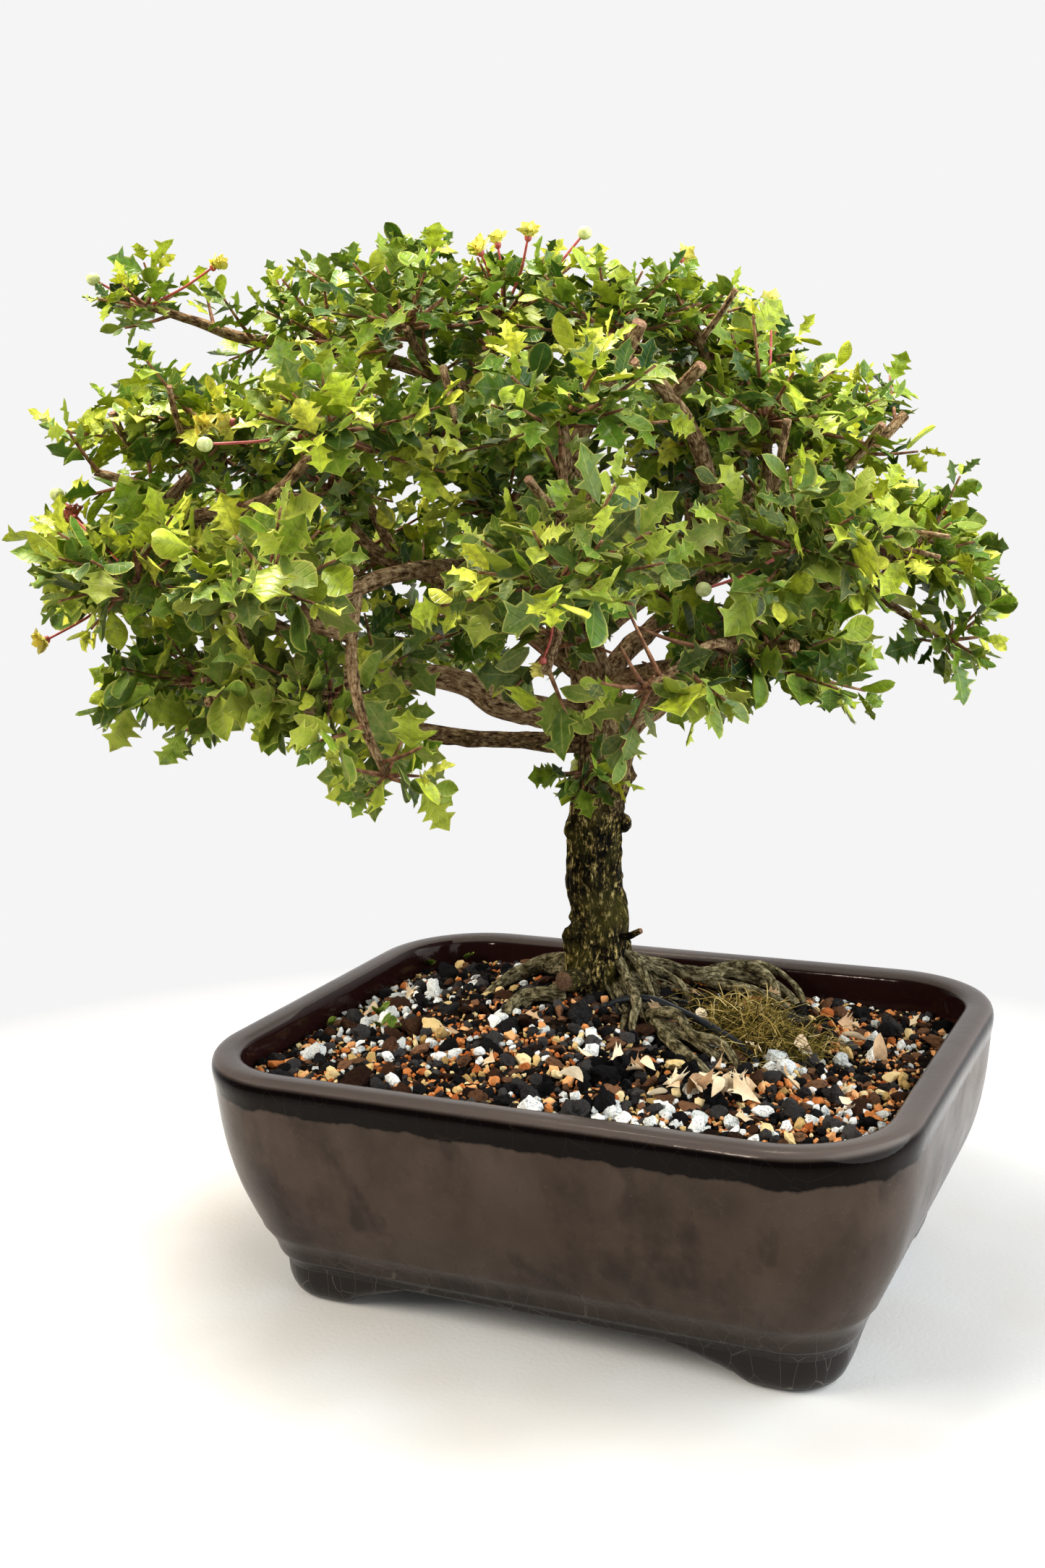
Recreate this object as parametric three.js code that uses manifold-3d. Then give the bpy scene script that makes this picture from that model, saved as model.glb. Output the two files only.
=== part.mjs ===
// A dwarf holly bonsai: a small tree with toothed leaves and surface roots, in a glazed rectangular pot.
// Millimetres, +Z up, the table at z = 0. The pot's long side runs along X.
// The tree has a frame of its own, turned from the pot's, at the trunk's foot: u right, v back, z up.
import * as THREE from "three";
import { mergeVertices } from "three/addons/utils/BufferGeometryUtils.js";
import Module from "manifold-3d";

const wasm = await Module();
wasm.setup();
const { Manifold, Mesh } = wasm;

// Driving dimensions of the pot
const POT_HALF_LENGTH = 105;
const POT_HALF_WIDTH = 81.5;
const POT_HEIGHT = 75.5;
const RIM_CORNER_RADIUS = 35;
const SHARPEST_CORNER = 6;
const CORNER_STEPS = 5;
const POT_UNDERSIDE = 9.5;
const POT_FLOOR = 18;
const FOOT_WIDTH = 13;
const FOOT_GAP = { alongX: 61, alongY: 39 }; // half of the opening between the feet, at the table
const FOOT_GAP_SLOPE = 22; // how much narrower the opening is under the pot
const DRAIN_RADIUS = 7.5;
const DRAIN_X = 42;
const DRAIN_SIDES = 12;

// Driving dimensions of the soil and the tree
const SEAT_GAP = 0.3; // between pieces that touch
const SMALLEST_DETAIL = 0.08; // anything finer is simplified away
const SOIL_EDGE_HEIGHT = 66;
const SOIL_TILT = 0.025; // the soil lies a little higher towards the front
const MOUND_HEIGHT = 8;
const MOUND_SPREAD = 55;
const TRUNK_FOOT = new THREE.Vector2(-24.4, 38.6);
const TREE_TURN = THREE.MathUtils.degToRad(25.4);
const TREE_RISE = 3.5; // the tree's heights are counted from this far above the table
const ROUGHNESS = 0.9;
const GRAIN_COUNT = 28;
const LEAF_LENGTH = { least: 18, most: 23 };
const LEAF_THICKNESS = 2;
const LEAF_ROLL = 0.6; // how far a leaf's face may turn about its rib, in radians
const LEAF_SPACING = 0.5; // room kept round a leaf
const SPRAY_CORE = { least: 16.5, most: 19.5 }; // radius of a spray's dense middle
const FLATNESS = 0.62; // of a spray's middle
const SPRAY_JITTER = { turn: 0.12, out: 0.04, height: 5 };
const STEM_RADIUS = { root: 2.2, tip: 1.3 };
const LONGEST_RUN = 44; // from a limb's end to its spray
const SHARPEST_TURN = THREE.MathUtils.degToRad(55);
const STEM_SAG = 0.12; // of a stem's length
const PLACING_TRIES = 5; // turns tried before a leaf that has no room is left out

const UP = new THREE.Vector3(0, 0, 1);

// Seeded random numbers from 0 to 1
function seeded(seed) {
  let state = seed;
  return () => {
    state = (state + 0x6d2b79f5) | 0;
    let t = Math.imul(state ^ (state >>> 15), 1 | state);
    t = (t + Math.imul(t ^ (t >>> 7), 61 | t)) ^ t;
    return ((t ^ (t >>> 14)) >>> 0) / 4294967296;
  };
}

const spread = (random, size) => (random() * 2 - 1) * size;
const vec = (p) => new THREE.Vector3(...p);

// Solids

function solidOf(geometry) {
  const bare = geometry.clone();
  for (const name of ["normal", "uv"]) bare.deleteAttribute(name);
  const merged = mergeVertices(bare, 1e-4);
  const vertProperties = merged.attributes.position.array;
  return new Manifold(new Mesh({ numProp: 3, vertProperties, triVerts: new Uint32Array(merged.index.array) }));
}

function geometryOf(solid) {
  const mesh = biggestBody(solid.simplify(SMALLEST_DETAIL)).getMesh();
  const geometry = new THREE.BufferGeometry();
  geometry.setAttribute("position", new THREE.BufferAttribute(new Float32Array(mesh.vertProperties), 3));
  geometry.setIndex(new THREE.BufferAttribute(new Uint32Array(mesh.triVerts), 1));
  return geometry;
}

// A closed skin over rings of equal count, each a list of Vector3 running anticlockwise seen from the far end.
function loft(rings) {
  const count = rings[0].length;
  const positions = rings.flat().flatMap((p) => [p.x, p.y, p.z]);
  const index = [];
  for (let r = 0; r + 1 < rings.length; r++) {
    for (let i = 0; i < count; i++) {
      const a = r * count + i;
      const b = r * count + ((i + 1) % count);
      index.push(a, b, b + count, a, b + count, a + count);
    }
  }
  const last = (rings.length - 1) * count;
  for (let i = 1; i + 1 < count; i++) index.push(0, i + 1, i, last, last + i, last + i + 1);
  const geometry = new THREE.BufferGeometry();
  geometry.setAttribute("position", new THREE.Float32BufferAttribute(positions, 3));
  geometry.setIndex(index);
  return geometry;
}

const curveOf = (points) =>
  new THREE.CatmullRomCurve3(points.map(([u, v, z]) => new THREE.Vector3(u, v, z)), false, "centripetal");

// A tapered limb along points given as [u, v, z, radius], with an optional extra radius all over.
function limb(points, sides, steps, extra = 0) {
  const curve = curveOf(points);
  const frames = curve.computeFrenetFrames(steps, false);
  const grown = extra / Math.cos(Math.PI / sides);
  const rings = [];
  for (let s = 0; s <= steps; s++) {
    const t = s / steps;
    const along = t * (points.length - 1);
    const k = Math.min(points.length - 2, Math.floor(along));
    const radius = THREE.MathUtils.lerp(points[k][3], points[k + 1][3], along - k) + grown;
    const centre = curve.getPoint(t);
    if (s === 0) centre.addScaledVector(frames.tangents[s], -extra);
    if (s === steps) centre.addScaledVector(frames.tangents[s], extra);
    const ring = [];
    for (let i = 0; i < sides; i++) {
      const angle = (2 * Math.PI * i) / sides;
      const p = centre.clone();
      p.addScaledVector(frames.normals[s], Math.cos(angle) * radius);
      p.addScaledVector(frames.binormals[s], Math.sin(angle) * radius);
      ring.push(p);
    }
    rings.push(ring);
  }
  return solidOf(loft(rings));
}

function boxBetween(low, high) {
  const size = vec(high).sub(vec(low));
  const middle = vec(high).add(vec(low)).multiplyScalar(0.5);
  return solidOf(new THREE.BoxGeometry(size.x, size.y, size.z).translate(middle.x, middle.y, middle.z));
}

function upright(radius, low, high, sides) {
  const geometry = new THREE.CylinderGeometry(radius, radius, high - low, sides);
  return solidOf(geometry.rotateX(Math.PI / 2).translate(0, 0, (low + high) / 2));
}

const biggestBody = (solid) => solid.decompose().reduce((a, b) => (b.volume() > a.volume() ? b : a));

// The pot

// The pot's plan at a given inset from the rim's outer edge
function planLoop(inset, z) {
  const radius = Math.max(SHARPEST_CORNER, RIM_CORNER_RADIUS - inset);
  const x = POT_HALF_LENGTH - inset - radius;
  const y = POT_HALF_WIDTH - inset - radius;
  const loop = [];
  [[x, y], [-x, y], [-x, -y], [x, -y]].forEach(([cx, cy], corner) => {
    for (let i = 0; i <= CORNER_STEPS; i++) {
      const angle = (Math.PI / 2) * (corner + i / CORNER_STEPS);
      loop.push(new THREE.Vector3(cx + radius * Math.cos(angle), cy + radius * Math.sin(angle), z));
    }
  });
  return loop;
}

const planSolid = (profile) => solidOf(loft(profile.map(([inset, z]) => planLoop(inset, z))));

const OUTER_PROFILE = [
  [20, POT_UNDERSIDE], [18.6, 12.4], [16.4, 13.6], [15.4, 17], [11.8, 22.6], [11.2, 24.4], [8.8, 29.5],
  [5.8, 37], [3.4, 46], [1.8, 56], [1, 66], [0, 68], [0, 72.6], [2, POT_HEIGHT],
];
const WALL_PROFILE = [[29, POT_FLOOR], [23, 25], [15, 42], [11.4, 60], [9.4, 73], [8, POT_HEIGHT]];

function pot() {
  const cavity = planSolid([...WALL_PROFILE, [8, POT_HEIGHT + 5]]);
  const footRing = planSolid([[23.4, 0], [20.6, 2.5], [19.2, 6], [18.9, POT_UNDERSIDE + 1]]);
  const footMiddle = planSolid([[22 + FOOT_WIDTH, -1], [20 + FOOT_WIDTH, POT_UNDERSIDE + 2]]);
  const feet = [FOOT_GAP.alongX, FOOT_GAP.alongY].reduce((left, half, axis) => {
    const slope = [[0, -1], [0, 0.6], [4, 2.4], [0.6 * FOOT_GAP_SLOPE, 5.5], [FOOT_GAP_SLOPE, POT_UNDERSIDE]];
    const corner = (side) => slope.map(([inwards, z]) => new THREE.Vector2(side * (half - inwards), z));
    const gap = new THREE.Shape([...corner(1), ...corner(-1).reverse()]);
    const depth = 2 * POT_HALF_LENGTH;
    const prism = new THREE.ExtrudeGeometry(gap, { depth, bevelEnabled: false });
    prism.translate(0, 0, -depth / 2).rotateX(Math.PI / 2);
    if (axis === 1) prism.rotateZ(Math.PI / 2);
    return left.subtract(solidOf(prism));
  }, footRing.subtract(footMiddle));
  const drains = [-DRAIN_X, DRAIN_X].map((x) =>
    upright(DRAIN_RADIUS, POT_UNDERSIDE - 3, POT_FLOOR + 3, DRAIN_SIDES).translate(x, 0, 0));
  return Manifold.difference([planSolid(OUTER_PROFILE), cavity, ...drains]).add(feet);
}

// A screen of plastic mesh over each drain hole, under the soil
const SCREEN = { half: 13, thick: 1.2, hole: 8.5, pitch: 12 };

function drainScreen(x) {
  const low = POT_FLOOR + SEAT_GAP;
  const { half, thick, hole, pitch } = SCREEN;
  const plate = boxBetween([x - half, -half, low], [x + half, half, low + thick]);
  const holes = [];
  for (const i of [-0.5, 0.5]) {
    for (const j of [-0.5, 0.5]) {
      const corner = [x + i * pitch - hole / 2, j * pitch - hole / 2];
      holes.push(boxBetween([...corner, low - 1], [corner[0] + hole, corner[1] + hole, low + thick + 1]));
    }
  }
  return Manifold.difference([plate, ...holes]);
}

const screenRoom = (x) => {
  const reach = SCREEN.half + SEAT_GAP;
  const top = POT_FLOOR + 2 * SEAT_GAP + SCREEN.thick;
  return boxBetween([x - reach, -reach, POT_FLOOR - 1], [x + reach, reach, top]);
};

// From the tree's frame to the pot's
const toPot = (solid) =>
  solid.rotate([0, 0, THREE.MathUtils.radToDeg(TREE_TURN)]).translate(TRUNK_FOOT.x, TRUNK_FOOT.y, TREE_RISE);

const potPoint = (u, v) => new THREE.Vector2(u, v).rotateAround(new THREE.Vector2(), TREE_TURN).add(TRUNK_FOOT);

// Height of the bare soil at a point of the pot's frame: a mound round the trunk
function soilHeight(x, y) {
  const away = Math.hypot(x - TRUNK_FOOT.x, y - TRUNK_FOOT.y) / MOUND_SPREAD;
  const ripple = 0.7 * Math.sin(x * 0.19 + 1.3) * Math.cos(y * 0.23);
  return SOIL_EDGE_HEIGHT - SOIL_TILT * y + MOUND_HEIGHT * Math.exp(-away * away) + ripple;
}

// The same in the tree's frame
const soilUnder = (u, v) => soilHeight(...potPoint(u, v)) - TREE_RISE;

// Where the moss and the fallen leaves lie
const COVERED = [{ u: 55, v: -42, reach: 22 }, { u: 31, v: -86, reach: 12 }];

const isCovered = (x, y) =>
  COVERED.some(({ u, v, reach }) => potPoint(u, v).distanceTo(new THREE.Vector2(x, y)) < reach);

// The soil body: the pot's hollow filled to the mound, with grains of pumice, lava and clay standing out of it
function soil(roomNeeded) {
  const wallInset = (z) => {
    const k = Math.max(1, WALL_PROFILE.findIndex(([, height]) => height >= z));
    const [[i0, z0], [i1, z1]] = [WALL_PROFILE[k - 1], WALL_PROFILE[k]];
    return THREE.MathUtils.mapLinear(z, z0, z1, i0, i1) + 2 * SEAT_GAP;
  };
  const rings = [POT_FLOOR + SEAT_GAP, 25, 42].map((z) => planLoop(wallInset(z), z));
  const edge = planLoop(wallInset(SOIL_EDGE_HEIGHT), 0);
  const middle = new THREE.Vector3(TRUNK_FOOT.x, TRUNK_FOOT.y, 0);
  const random = seeded(11);
  for (const inward of [0, 0.17, 0.34, 0.51, 0.7, 0.95]) {
    rings.push(edge.map((p) => {
      const q = p.clone().lerp(middle, inward);
      return q.setZ(soilHeight(q.x, q.y) + spread(random, ROUGHNESS));
    }));
  }
  const grains = [];
  const [reachX, reachY] = [POT_HALF_LENGTH - 18, POT_HALF_WIDTH - 18];
  while (grains.length < GRAIN_COUNT) {
    const [x, y] = [spread(random, reachX), spread(random, reachY)];
    const size = 2.6 + 2.2 * random();
    const squash = [1 + 0.4 * random(), 0.8 + 0.3 * random(), 0.75 + 0.2 * random()];
    const turn = new THREE.Euler(spread(random, 1), spread(random, 1), spread(random, 3));
    const cornerX = Math.abs(x) / reachX;
    const cornerY = Math.abs(y) / reachY;
    if (cornerX ** 5 + cornerY ** 5 > 0.9 || isCovered(x, y)) continue;
    const grain = new THREE.OctahedronGeometry(size).scale(...squash);
    grain.applyMatrix4(new THREE.Matrix4().makeRotationFromEuler(turn));
    grain.translate(x, y, soilHeight(x, y) + 0.2 * size);
    grains.push(solidOf(grain));
  }
  const body = Manifold.union([solidOf(loft(rings)), ...grains]);
  return biggestBody(Manifold.difference([body, ...roomNeeded]));
}

// The tree's wood: each limb as [u, v, z, radius] points

const TRUNK = [
  [2, 0, 44, 8], [3, 0, 58, 13], [4, 0, 68, 14], [5, 0, 77, 11.6], [6, 0, 90, 10.4], [4, 0, 107, 9.7],
  [5, 0, 125, 9.6], [8, 0, 141, 9], [9, 0, 153, 8.7], [6, 0, 166, 7.4], [3, -2, 180, 6.2], [0, -3, 200, 5.2],
  [-2, 0, 225, 3.8], [-4, 4, 250, 2.8], [-2, 4, 266, 1.9],
];
const ROOTS = [
  [[-2, 4, 74, 5], [-12, 14, 71, 3.8], [-22, 11, 69, 3], [-30, 3, 66.5, 2.6], [-36, -10, 59, 2]],
  [[-1, -5, 72, 4.4], [-12, -8, 68.5, 3], [-21, -15, 66.5, 2.4], [-25, -27, 58, 2]],
  [[10, 4, 73, 5], [22, 11, 70.5, 3.8], [36, 2, 69, 3.2], [49, 3, 68.5, 3], [59, 1, 66.5, 2.4], [66, -7, 64, 2],
    [70, -16, 56, 1.8]],
  [[38, 2, 68.6, 2.6], [52, -6, 66.4, 2.3], [62, -17, 64.5, 2], [68, -30, 56, 1.7]],
  [[10, -5, 71, 4.6], [15, -17, 67.4, 3.4], [20, -36, 66.4, 3], [25, -54, 64.4, 2.7], [31, -68, 62.2, 2.4], [38, -80, 55, 2]],
  [[17, -27, 66, 2.6], [27, -47, 65.6, 2.4], [35, -60, 63.8, 2.2], [43, -70, 56, 1.8]],
  [[9, -7, 71, 3], [12, -24, 67, 2.2], [10, -38, 64.8, 1.8], [7, -50, 57, 1.5]],
  [[10, 1, 79, 3], [16, 6, 75, 2.2], [21, -2, 71, 1.9], [24, -10, 64, 1.6]],
  [[3, 7, 72, 5], [2, 17, 66.5, 3.4], [0, 26, 58, 2.4]],
  [[-5, 6, 73, 4.4], [-18, 24, 66.5, 3], [-27, 36, 57, 2.2]],
];
const LEAFY_LIMBS = {
  leftLow: [[4, 0, 150, 3.6], [-16, 10, 149, 2.9], [-42, 15, 151, 2.7], [-75, 20, 159, 2.5],
    [-99, 20, 162, 2.2], [-125, 24, 169, 1.8], [-142, 25, 178, 1.5]],
  left: [[4, 0, 158, 5], [-25, -5, 164, 4.2], [-36, -8, 171, 3.8], [-61, -10, 176, 3.2], [-81, -12, 186, 2.6],
    [-110, -18, 200, 2], [-136, -24, 210, 1.6]],
  rightLow: [[8, 0, 150, 4.8], [17, 4, 156, 4.6], [31, 8, 166, 4.3], [57, 15, 183, 3.4], [79, 20, 200, 2.6],
    [108, 24, 220, 1.7]],
  right: [[2, -2, 184, 4.8], [22, -14, 200, 4.6], [44, -25, 211, 3.6], [59, -30, 216, 2.7], [84, -35, 214, 2],
    [108, -38, 211, 1.5]],
  rightUp: [[40, -24, 209, 3.2], [52, -18, 224, 2.8], [73, -10, 234, 2.2], [89, -5, 237, 2], [104, 0, 249, 1.7]],
  rightDown: [[86, 21, 205, 2], [96, 2, 194, 1.5], [104, -9, 187, 1.2], [110, -12, 183, 1]],
  frontLow: [[2, -4, 194, 3.2], [-4, -40, 196, 2.6], [-9, -78, 190, 2.1], [-11, -104, 186, 1.5]],
  frontRight: [[7, -3, 168, 3.2], [22, -25, 175, 2.7], [38, -52, 182, 2.3], [56, -82, 188, 1.8]],
  leftUp: [[-3, 0, 234, 3.2], [-23, 10, 256, 2.8], [-46, 18, 268, 2.5], [-82, 22, 277, 2.1], [-104, 22, 281, 1.8],
    [-128, 22, 290, 1.4]],
  leftShoot: [[-102, -16, 196, 2], [-107, -38, 220, 1.7], [-121, -45, 234, 1.5], [-136, -49, 240, 1.2]],
  leftFront: [[-58, -10, 175, 2.8], [-75, -35, 177, 2.3], [-89, -55, 177, 2], [-104, -74, 177, 1.5]],
  hanging: [[-60, -93, 207, 2], [-61, -104, 190, 1.5], [-58, -108, 174, 1.3], [-55, -110, 166, 1.1]],
  hangingRight: [[44, -62, 184, 1.6], [32, -95, 190, 1.4], [18, -112, 184, 1.2]],
  backRight: [[5, 2, 165, 4], [20, 24, 178, 3.4], [38, 48, 190, 2.7], [62, 72, 202, 1.9]],
  backLeft: [[2, 3, 172, 4], [-18, 26, 186, 3.4], [-42, 52, 199, 2.6], [-76, 74, 210, 1.8]],
  back: [[0, 3, 206, 3.4], [-4, 30, 226, 2.8], [-10, 62, 240, 2.2], [-14, 84, 246, 1.7]],
};
// Limbs that were sawn off
const CUT_LIMBS = {
  frontLeft: [[2, -3, 184, 3.6], [-6, -15, 197, 3.1], [-24, -45, 207, 2.7], [-44, -75, 211, 2.4],
    [-62, -95, 207, 2.2], [-72, -106, 203, 2.1]],
  frontUp: [[0, -4, 203, 3.6], [0, -35, 240, 2.9], [8, -50, 256, 2.5], [18, -66, 274, 2.2]],
  frontFork: [[44, -25, 210, 3], [38, -48, 230, 2.5], [29, -66, 250, 2.2], [16, -75, 264, 2]],
  frontStub: [[26, -69, 255, 1.9], [33, -76, 262, 1.8]],
  frontPost: [[-1, -6, 214, 2.8], [-4, -40, 226, 2.4], [-4, -62, 236, 2.2], [-5, -75, 254, 2]],
};
// Healed knots on the trunk, as [u, v, z, radius]
const KNOTS = [[-3.2, -3, 124, 3.4], [12.8, -3, 122, 3.6], [15.5, -1, 139, 3], [13.5, -4, 84, 2.8],
  [2, -7.5, 108, 3.2], [-2, -5, 90, 3.4]];

const stepsOf = (points) => Math.max(2, points.length - 1);

// The leafy sprays: rings of them from the crown down to the skirt, then those that stand out by themselves
const CANOPY = { u: -23, v: -4, reachU: 119, reachV: 104 };
const RINGS = [
  { count: 1, share: 0.04, height: 283, turn: 0, leaves: 6 },
  { count: 5, share: 0.42, height: 273, turn: 0.3, leaves: 7 },
  { count: 9, share: 0.77, height: 247, turn: 0.1, leaves: 7 },
  { count: 11, share: 1, height: 209, turn: 0.45, leaves: 7 },
  { count: 5, share: 0.8, height: 176, turn: 0.4, leaves: 5 },
];
const STANDING_OUT = [
  { at: [-132, 22, 291], core: 7, leaves: 7, leaf: 0.85 },
  { at: [-48, 20, 301], core: 4.5, leaves: 4, leaf: 0.75 },
  { at: [115, -14, 180], core: 6, leaves: 5, leaf: 0.75 },
  { at: [-53, -111, 161], core: 6.5, leaves: 5, leaf: 0.9 },
  { at: [13, -115, 182], core: 6.5, leaves: 5, leaf: 1.1 },
  { at: [1, -10, 142], core: 4.5, leaves: 4, leaf: 0.7, onTrunk: true },
];

function spraySites() {
  const random = seeded(29);
  const sites = [];
  for (const { count, share, height, turn, leaves } of RINGS) {
    for (let k = 0; k < count; k++) {
      const angle = (2 * Math.PI * (k + turn + spread(random, SPRAY_JITTER.turn))) / count;
      const out = share * (1 + spread(random, SPRAY_JITTER.out));
      const u = CANOPY.u + out * CANOPY.reachU * Math.cos(angle);
      const v = CANOPY.v + out * CANOPY.reachV * Math.sin(angle);
      const z = height + spread(random, SPRAY_JITTER.height);
      const core = THREE.MathUtils.lerp(SPRAY_CORE.least, SPRAY_CORE.most, random());
      sites.push({ at: [u, v, z], core, leaves, leaf: 1 });
    }
  }
  return [...sites, ...STANDING_OUT];
}

// Each leafy limb runs on into the spray nearest to its end; the sprays left over get stems of their own.
function growInto(sites) {
  const reached = new Set();
  const limbs = Object.values(LEAFY_LIMBS).map((points) => {
    const end = new THREE.Vector3(...points.at(-1));
    const heading = end.clone().sub(new THREE.Vector3(...points.at(-2)));
    const run = (site) => vec(site.at).sub(end);
    const ahead = sites.filter((site) => !reached.has(site) && run(site).angleTo(heading) < SHARPEST_TURN);
    const [nearest] = ahead.sort((a, b) => run(a).length() - run(b).length());
    if (!nearest || run(nearest).length() > LONGEST_RUN) return points;
    reached.add(nearest);
    return [...points, [...nearest.at, STEM_RADIUS.tip]];
  });
  const springs = [TRUNK.slice(8), ...limbs].flatMap((points) => {
    const curve = curveOf(points);
    return Array.from({ length: 12 }, (_, s) => curve.getPoint(0.16 + 0.06 * s));
  });
  const stems = sites.filter((site) => !reached.has(site) && !site.onTrunk).map((site) => stemOf(site, springs));
  return [...limbs, ...Object.values(CUT_LIMBS), ...stems];
}

// A spray's stem: from the limb point that serves it best, rising outwards into the spray's middle
function stemOf(site, springs) {
  const end = vec(site.at);
  const cost = (p) => p.distanceTo(end) + 0.9 * Math.max(0, p.z - end.z + 4);
  const start = springs.reduce((a, b) => (cost(b) < cost(a) ? b : a));
  const middle = start.clone().lerp(end, 0.55);
  middle.z -= STEM_SAG * start.distanceTo(end);
  const { root, tip } = STEM_RADIUS;
  return [[...start.toArray(), root], [...middle.toArray(), (root + tip) / 2], [...site.at, tip]];
}

// All the wood, with an optional extra radius: the room that it needs in what it passes through
function wood(limbs, extra = 0) {
  const parts = [limb(TRUNK, 9, stepsOf(TRUNK), extra)];
  for (const points of [...ROOTS, ...limbs]) {
    const thickest = points[0][3];
    const sides = [3, 4, 5][(thickest > STEM_RADIUS.root) + (thickest > 4)];
    parts.push(limb(points, sides, stepsOf(points), extra));
  }
  for (const [u, v, z, radius] of KNOTS) {
    const knot = new THREE.OctahedronGeometry(radius + 1.8 * extra).rotateZ(u).scale(1, 1, 1.2);
    parts.push(solidOf(knot.translate(u, v, z)));
  }
  return Manifold.union(parts);
}

// Leaves

// Half a holly leaf's outline from stalk to tip, as shares of its length: along, across, lift of the margin
const HALF_OUTLINE = [[0.34, 0.31, 0.08], [0.54, 0.21, -0.02], [0.74, 0.33, 0.1]];

// A toothed blade along +X from its stalk at the origin, cupped upwards, thickest at the rib
function leaf(length, fuller = 0) {
  const right = HALF_OUTLINE.map(([x, y, z]) => [x, -y, z]);
  const left = HALF_OUTLINE.toReversed();
  const outline = [[0, 0, 0], ...right, [1, 0, 0.05], ...left];
  const positions = outline.flatMap(([x, y, z]) => [x * length, y * (length + 2 * fuller), z * length]);
  const top = outline.length;
  positions.push(0.5 * length, 0, 0.35 * LEAF_THICKNESS + fuller);
  positions.push(0.5 * length, 0, -0.65 * LEAF_THICKNESS - fuller);
  const index = [];
  for (let i = 0; i < top; i++) {
    const j = (i + 1) % top;
    index.push(top, i, j, top + 1, j, i);
  }
  const geometry = new THREE.BufferGeometry();
  geometry.setAttribute("position", new THREE.Float32BufferAttribute(positions, 3));
  geometry.setIndex(index);
  return geometry;
}

// Sets a blade's stalk at a point and its tip along a direction, its face upwards but for a roll about the rib
function leafPlace(root, direction, roll) {
  const x = direction.clone().normalize();
  const side = new THREE.Vector3().crossVectors(UP, x);
  if (side.length() < 0.2) side.set(0, 1, 0).cross(x);
  side.normalize().applyAxisAngle(x, roll);
  const face = new THREE.Vector3().crossVectors(x, side);
  return new THREE.Matrix4().makeBasis(x, side, face).setPosition(root);
}

// Directions spread evenly over a ball, short of its underside
function evenDirection(i, count) {
  const z = 0.92 - (1.55 * (i + 0.5)) / count;
  const angle = i * Math.PI * (3 - Math.sqrt(5));
  const flat = Math.sqrt(1 - z * z);
  return new THREE.Vector3(flat * Math.cos(angle), flat * Math.sin(angle), z);
}

function boxesMeet(a, b) {
  return [0, 1, 2].every((k) => a.min[k] <= b.max[k] && b.min[k] <= a.max[k]);
}

function clashes(solid, owner, taken) {
  const box = solid.boundingBox();
  return taken.some((t) => t.owner !== owner && boxesMeet(t.box, box) && t.solid.intersect(solid).volume() > 1e-3);
}

function coreOf(site, extra, random) {
  const core = new THREE.IcosahedronGeometry(site.core + extra);
  core.scale(1, 1, FLATNESS).rotateZ(random() * 6).rotateX(spread(random, 0.3));
  return solidOf(core.translate(...site.at));
}

// Flower buds, each on a stalk out of the nearest spray: where their heads are
const BUD_HEADS = [[6, -10, 305], [60, -20, 282], [-148, 20, 300], [-11, -80, 260], [-152, -30, 234],
  [31, -90, 204], [-98, -86, 246], [101, -22, 228]];
const BUD = { stalk: 0.7, head: 2.4 };

function bud(head, sites, extra = 0) {
  const tip = vec(head);
  const nearest = sites.reduce((a, b) => (tip.distanceTo(vec(b.at)) < tip.distanceTo(vec(a.at)) ? b : a));
  const root = vec(nearest.at);
  root.addScaledVector(tip.clone().sub(root).normalize(), 0.4 * nearest.core);
  const stalk = limb([[...root.toArray(), BUD.stalk], [...tip.toArray(), BUD.stalk]], 4, 1, extra);
  return stalk.add(solidOf(new THREE.IcosahedronGeometry(BUD.head + extra, 0).translate(...head)));
}

// Every spray: a small dense middle that its stem enters, with toothed leaves standing out of it on all sides
function sprays(sites, woodRoom) {
  const random = seeded(47);
  const taken = [];
  const take = (solid, owner) => taken.push({ solid, owner, box: solid.boundingBox() });
  sites.forEach((site, n) => take(coreOf(site, 1, seeded(100 + n)), n));
  const buds = BUD_HEADS.map((head) => bud(head, sites));
  const budRoom = BUD_HEADS.map((head) => bud(head, sites, SEAT_GAP));
  budRoom.forEach((solid, n) => take(solid, "bud" + n));
  take(woodRoom, "wood");
  const axis = new THREE.Vector3(CANOPY.u, CANOPY.v, 205);
  const solids = sites.map((site, n) => {
    const middle = vec(site.at);
    const outward = middle.clone().sub(axis).normalize();
    const parts = [coreOf(site, 0, seeded(100 + n))];
    for (let i = 0; i < site.leaves; i++) {
      const spin = random() * 6.3;
      const length = site.leaf * THREE.MathUtils.lerp(LEAF_LENGTH.least, LEAF_LENGTH.most, random());
      for (let attempt = 0; attempt < PLACING_TRIES; attempt++) {
        const way = evenDirection(i, site.leaves).applyAxisAngle(UP, spin + attempt * 0.45);
        way.addScaledVector(outward, 0.45).normalize();
        const fromMiddle = new THREE.Vector3(way.x, way.y, way.z * FLATNESS).multiplyScalar(site.core * 0.66);
        const heading = way.clone().add(new THREE.Vector3(0, 0, -0.15)).normalize();
        const place = leafPlace(fromMiddle.add(middle), heading, spread(random, LEAF_ROLL));
        if (clashes(solidOf(leaf(length, LEAF_SPACING).applyMatrix4(place)), n, taken)) continue;
        const blade = solidOf(leaf(length).applyMatrix4(place));
        parts.push(blade);
        take(blade, n);
        break;
      }
    }
    return Manifold.union(parts);
  });
  const cut = solids.map((solid) => biggestBody(Manifold.difference([solid, woodRoom, ...budRoom])));
  return { leafy: cut, buds };
}

// What lies on the soil

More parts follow.
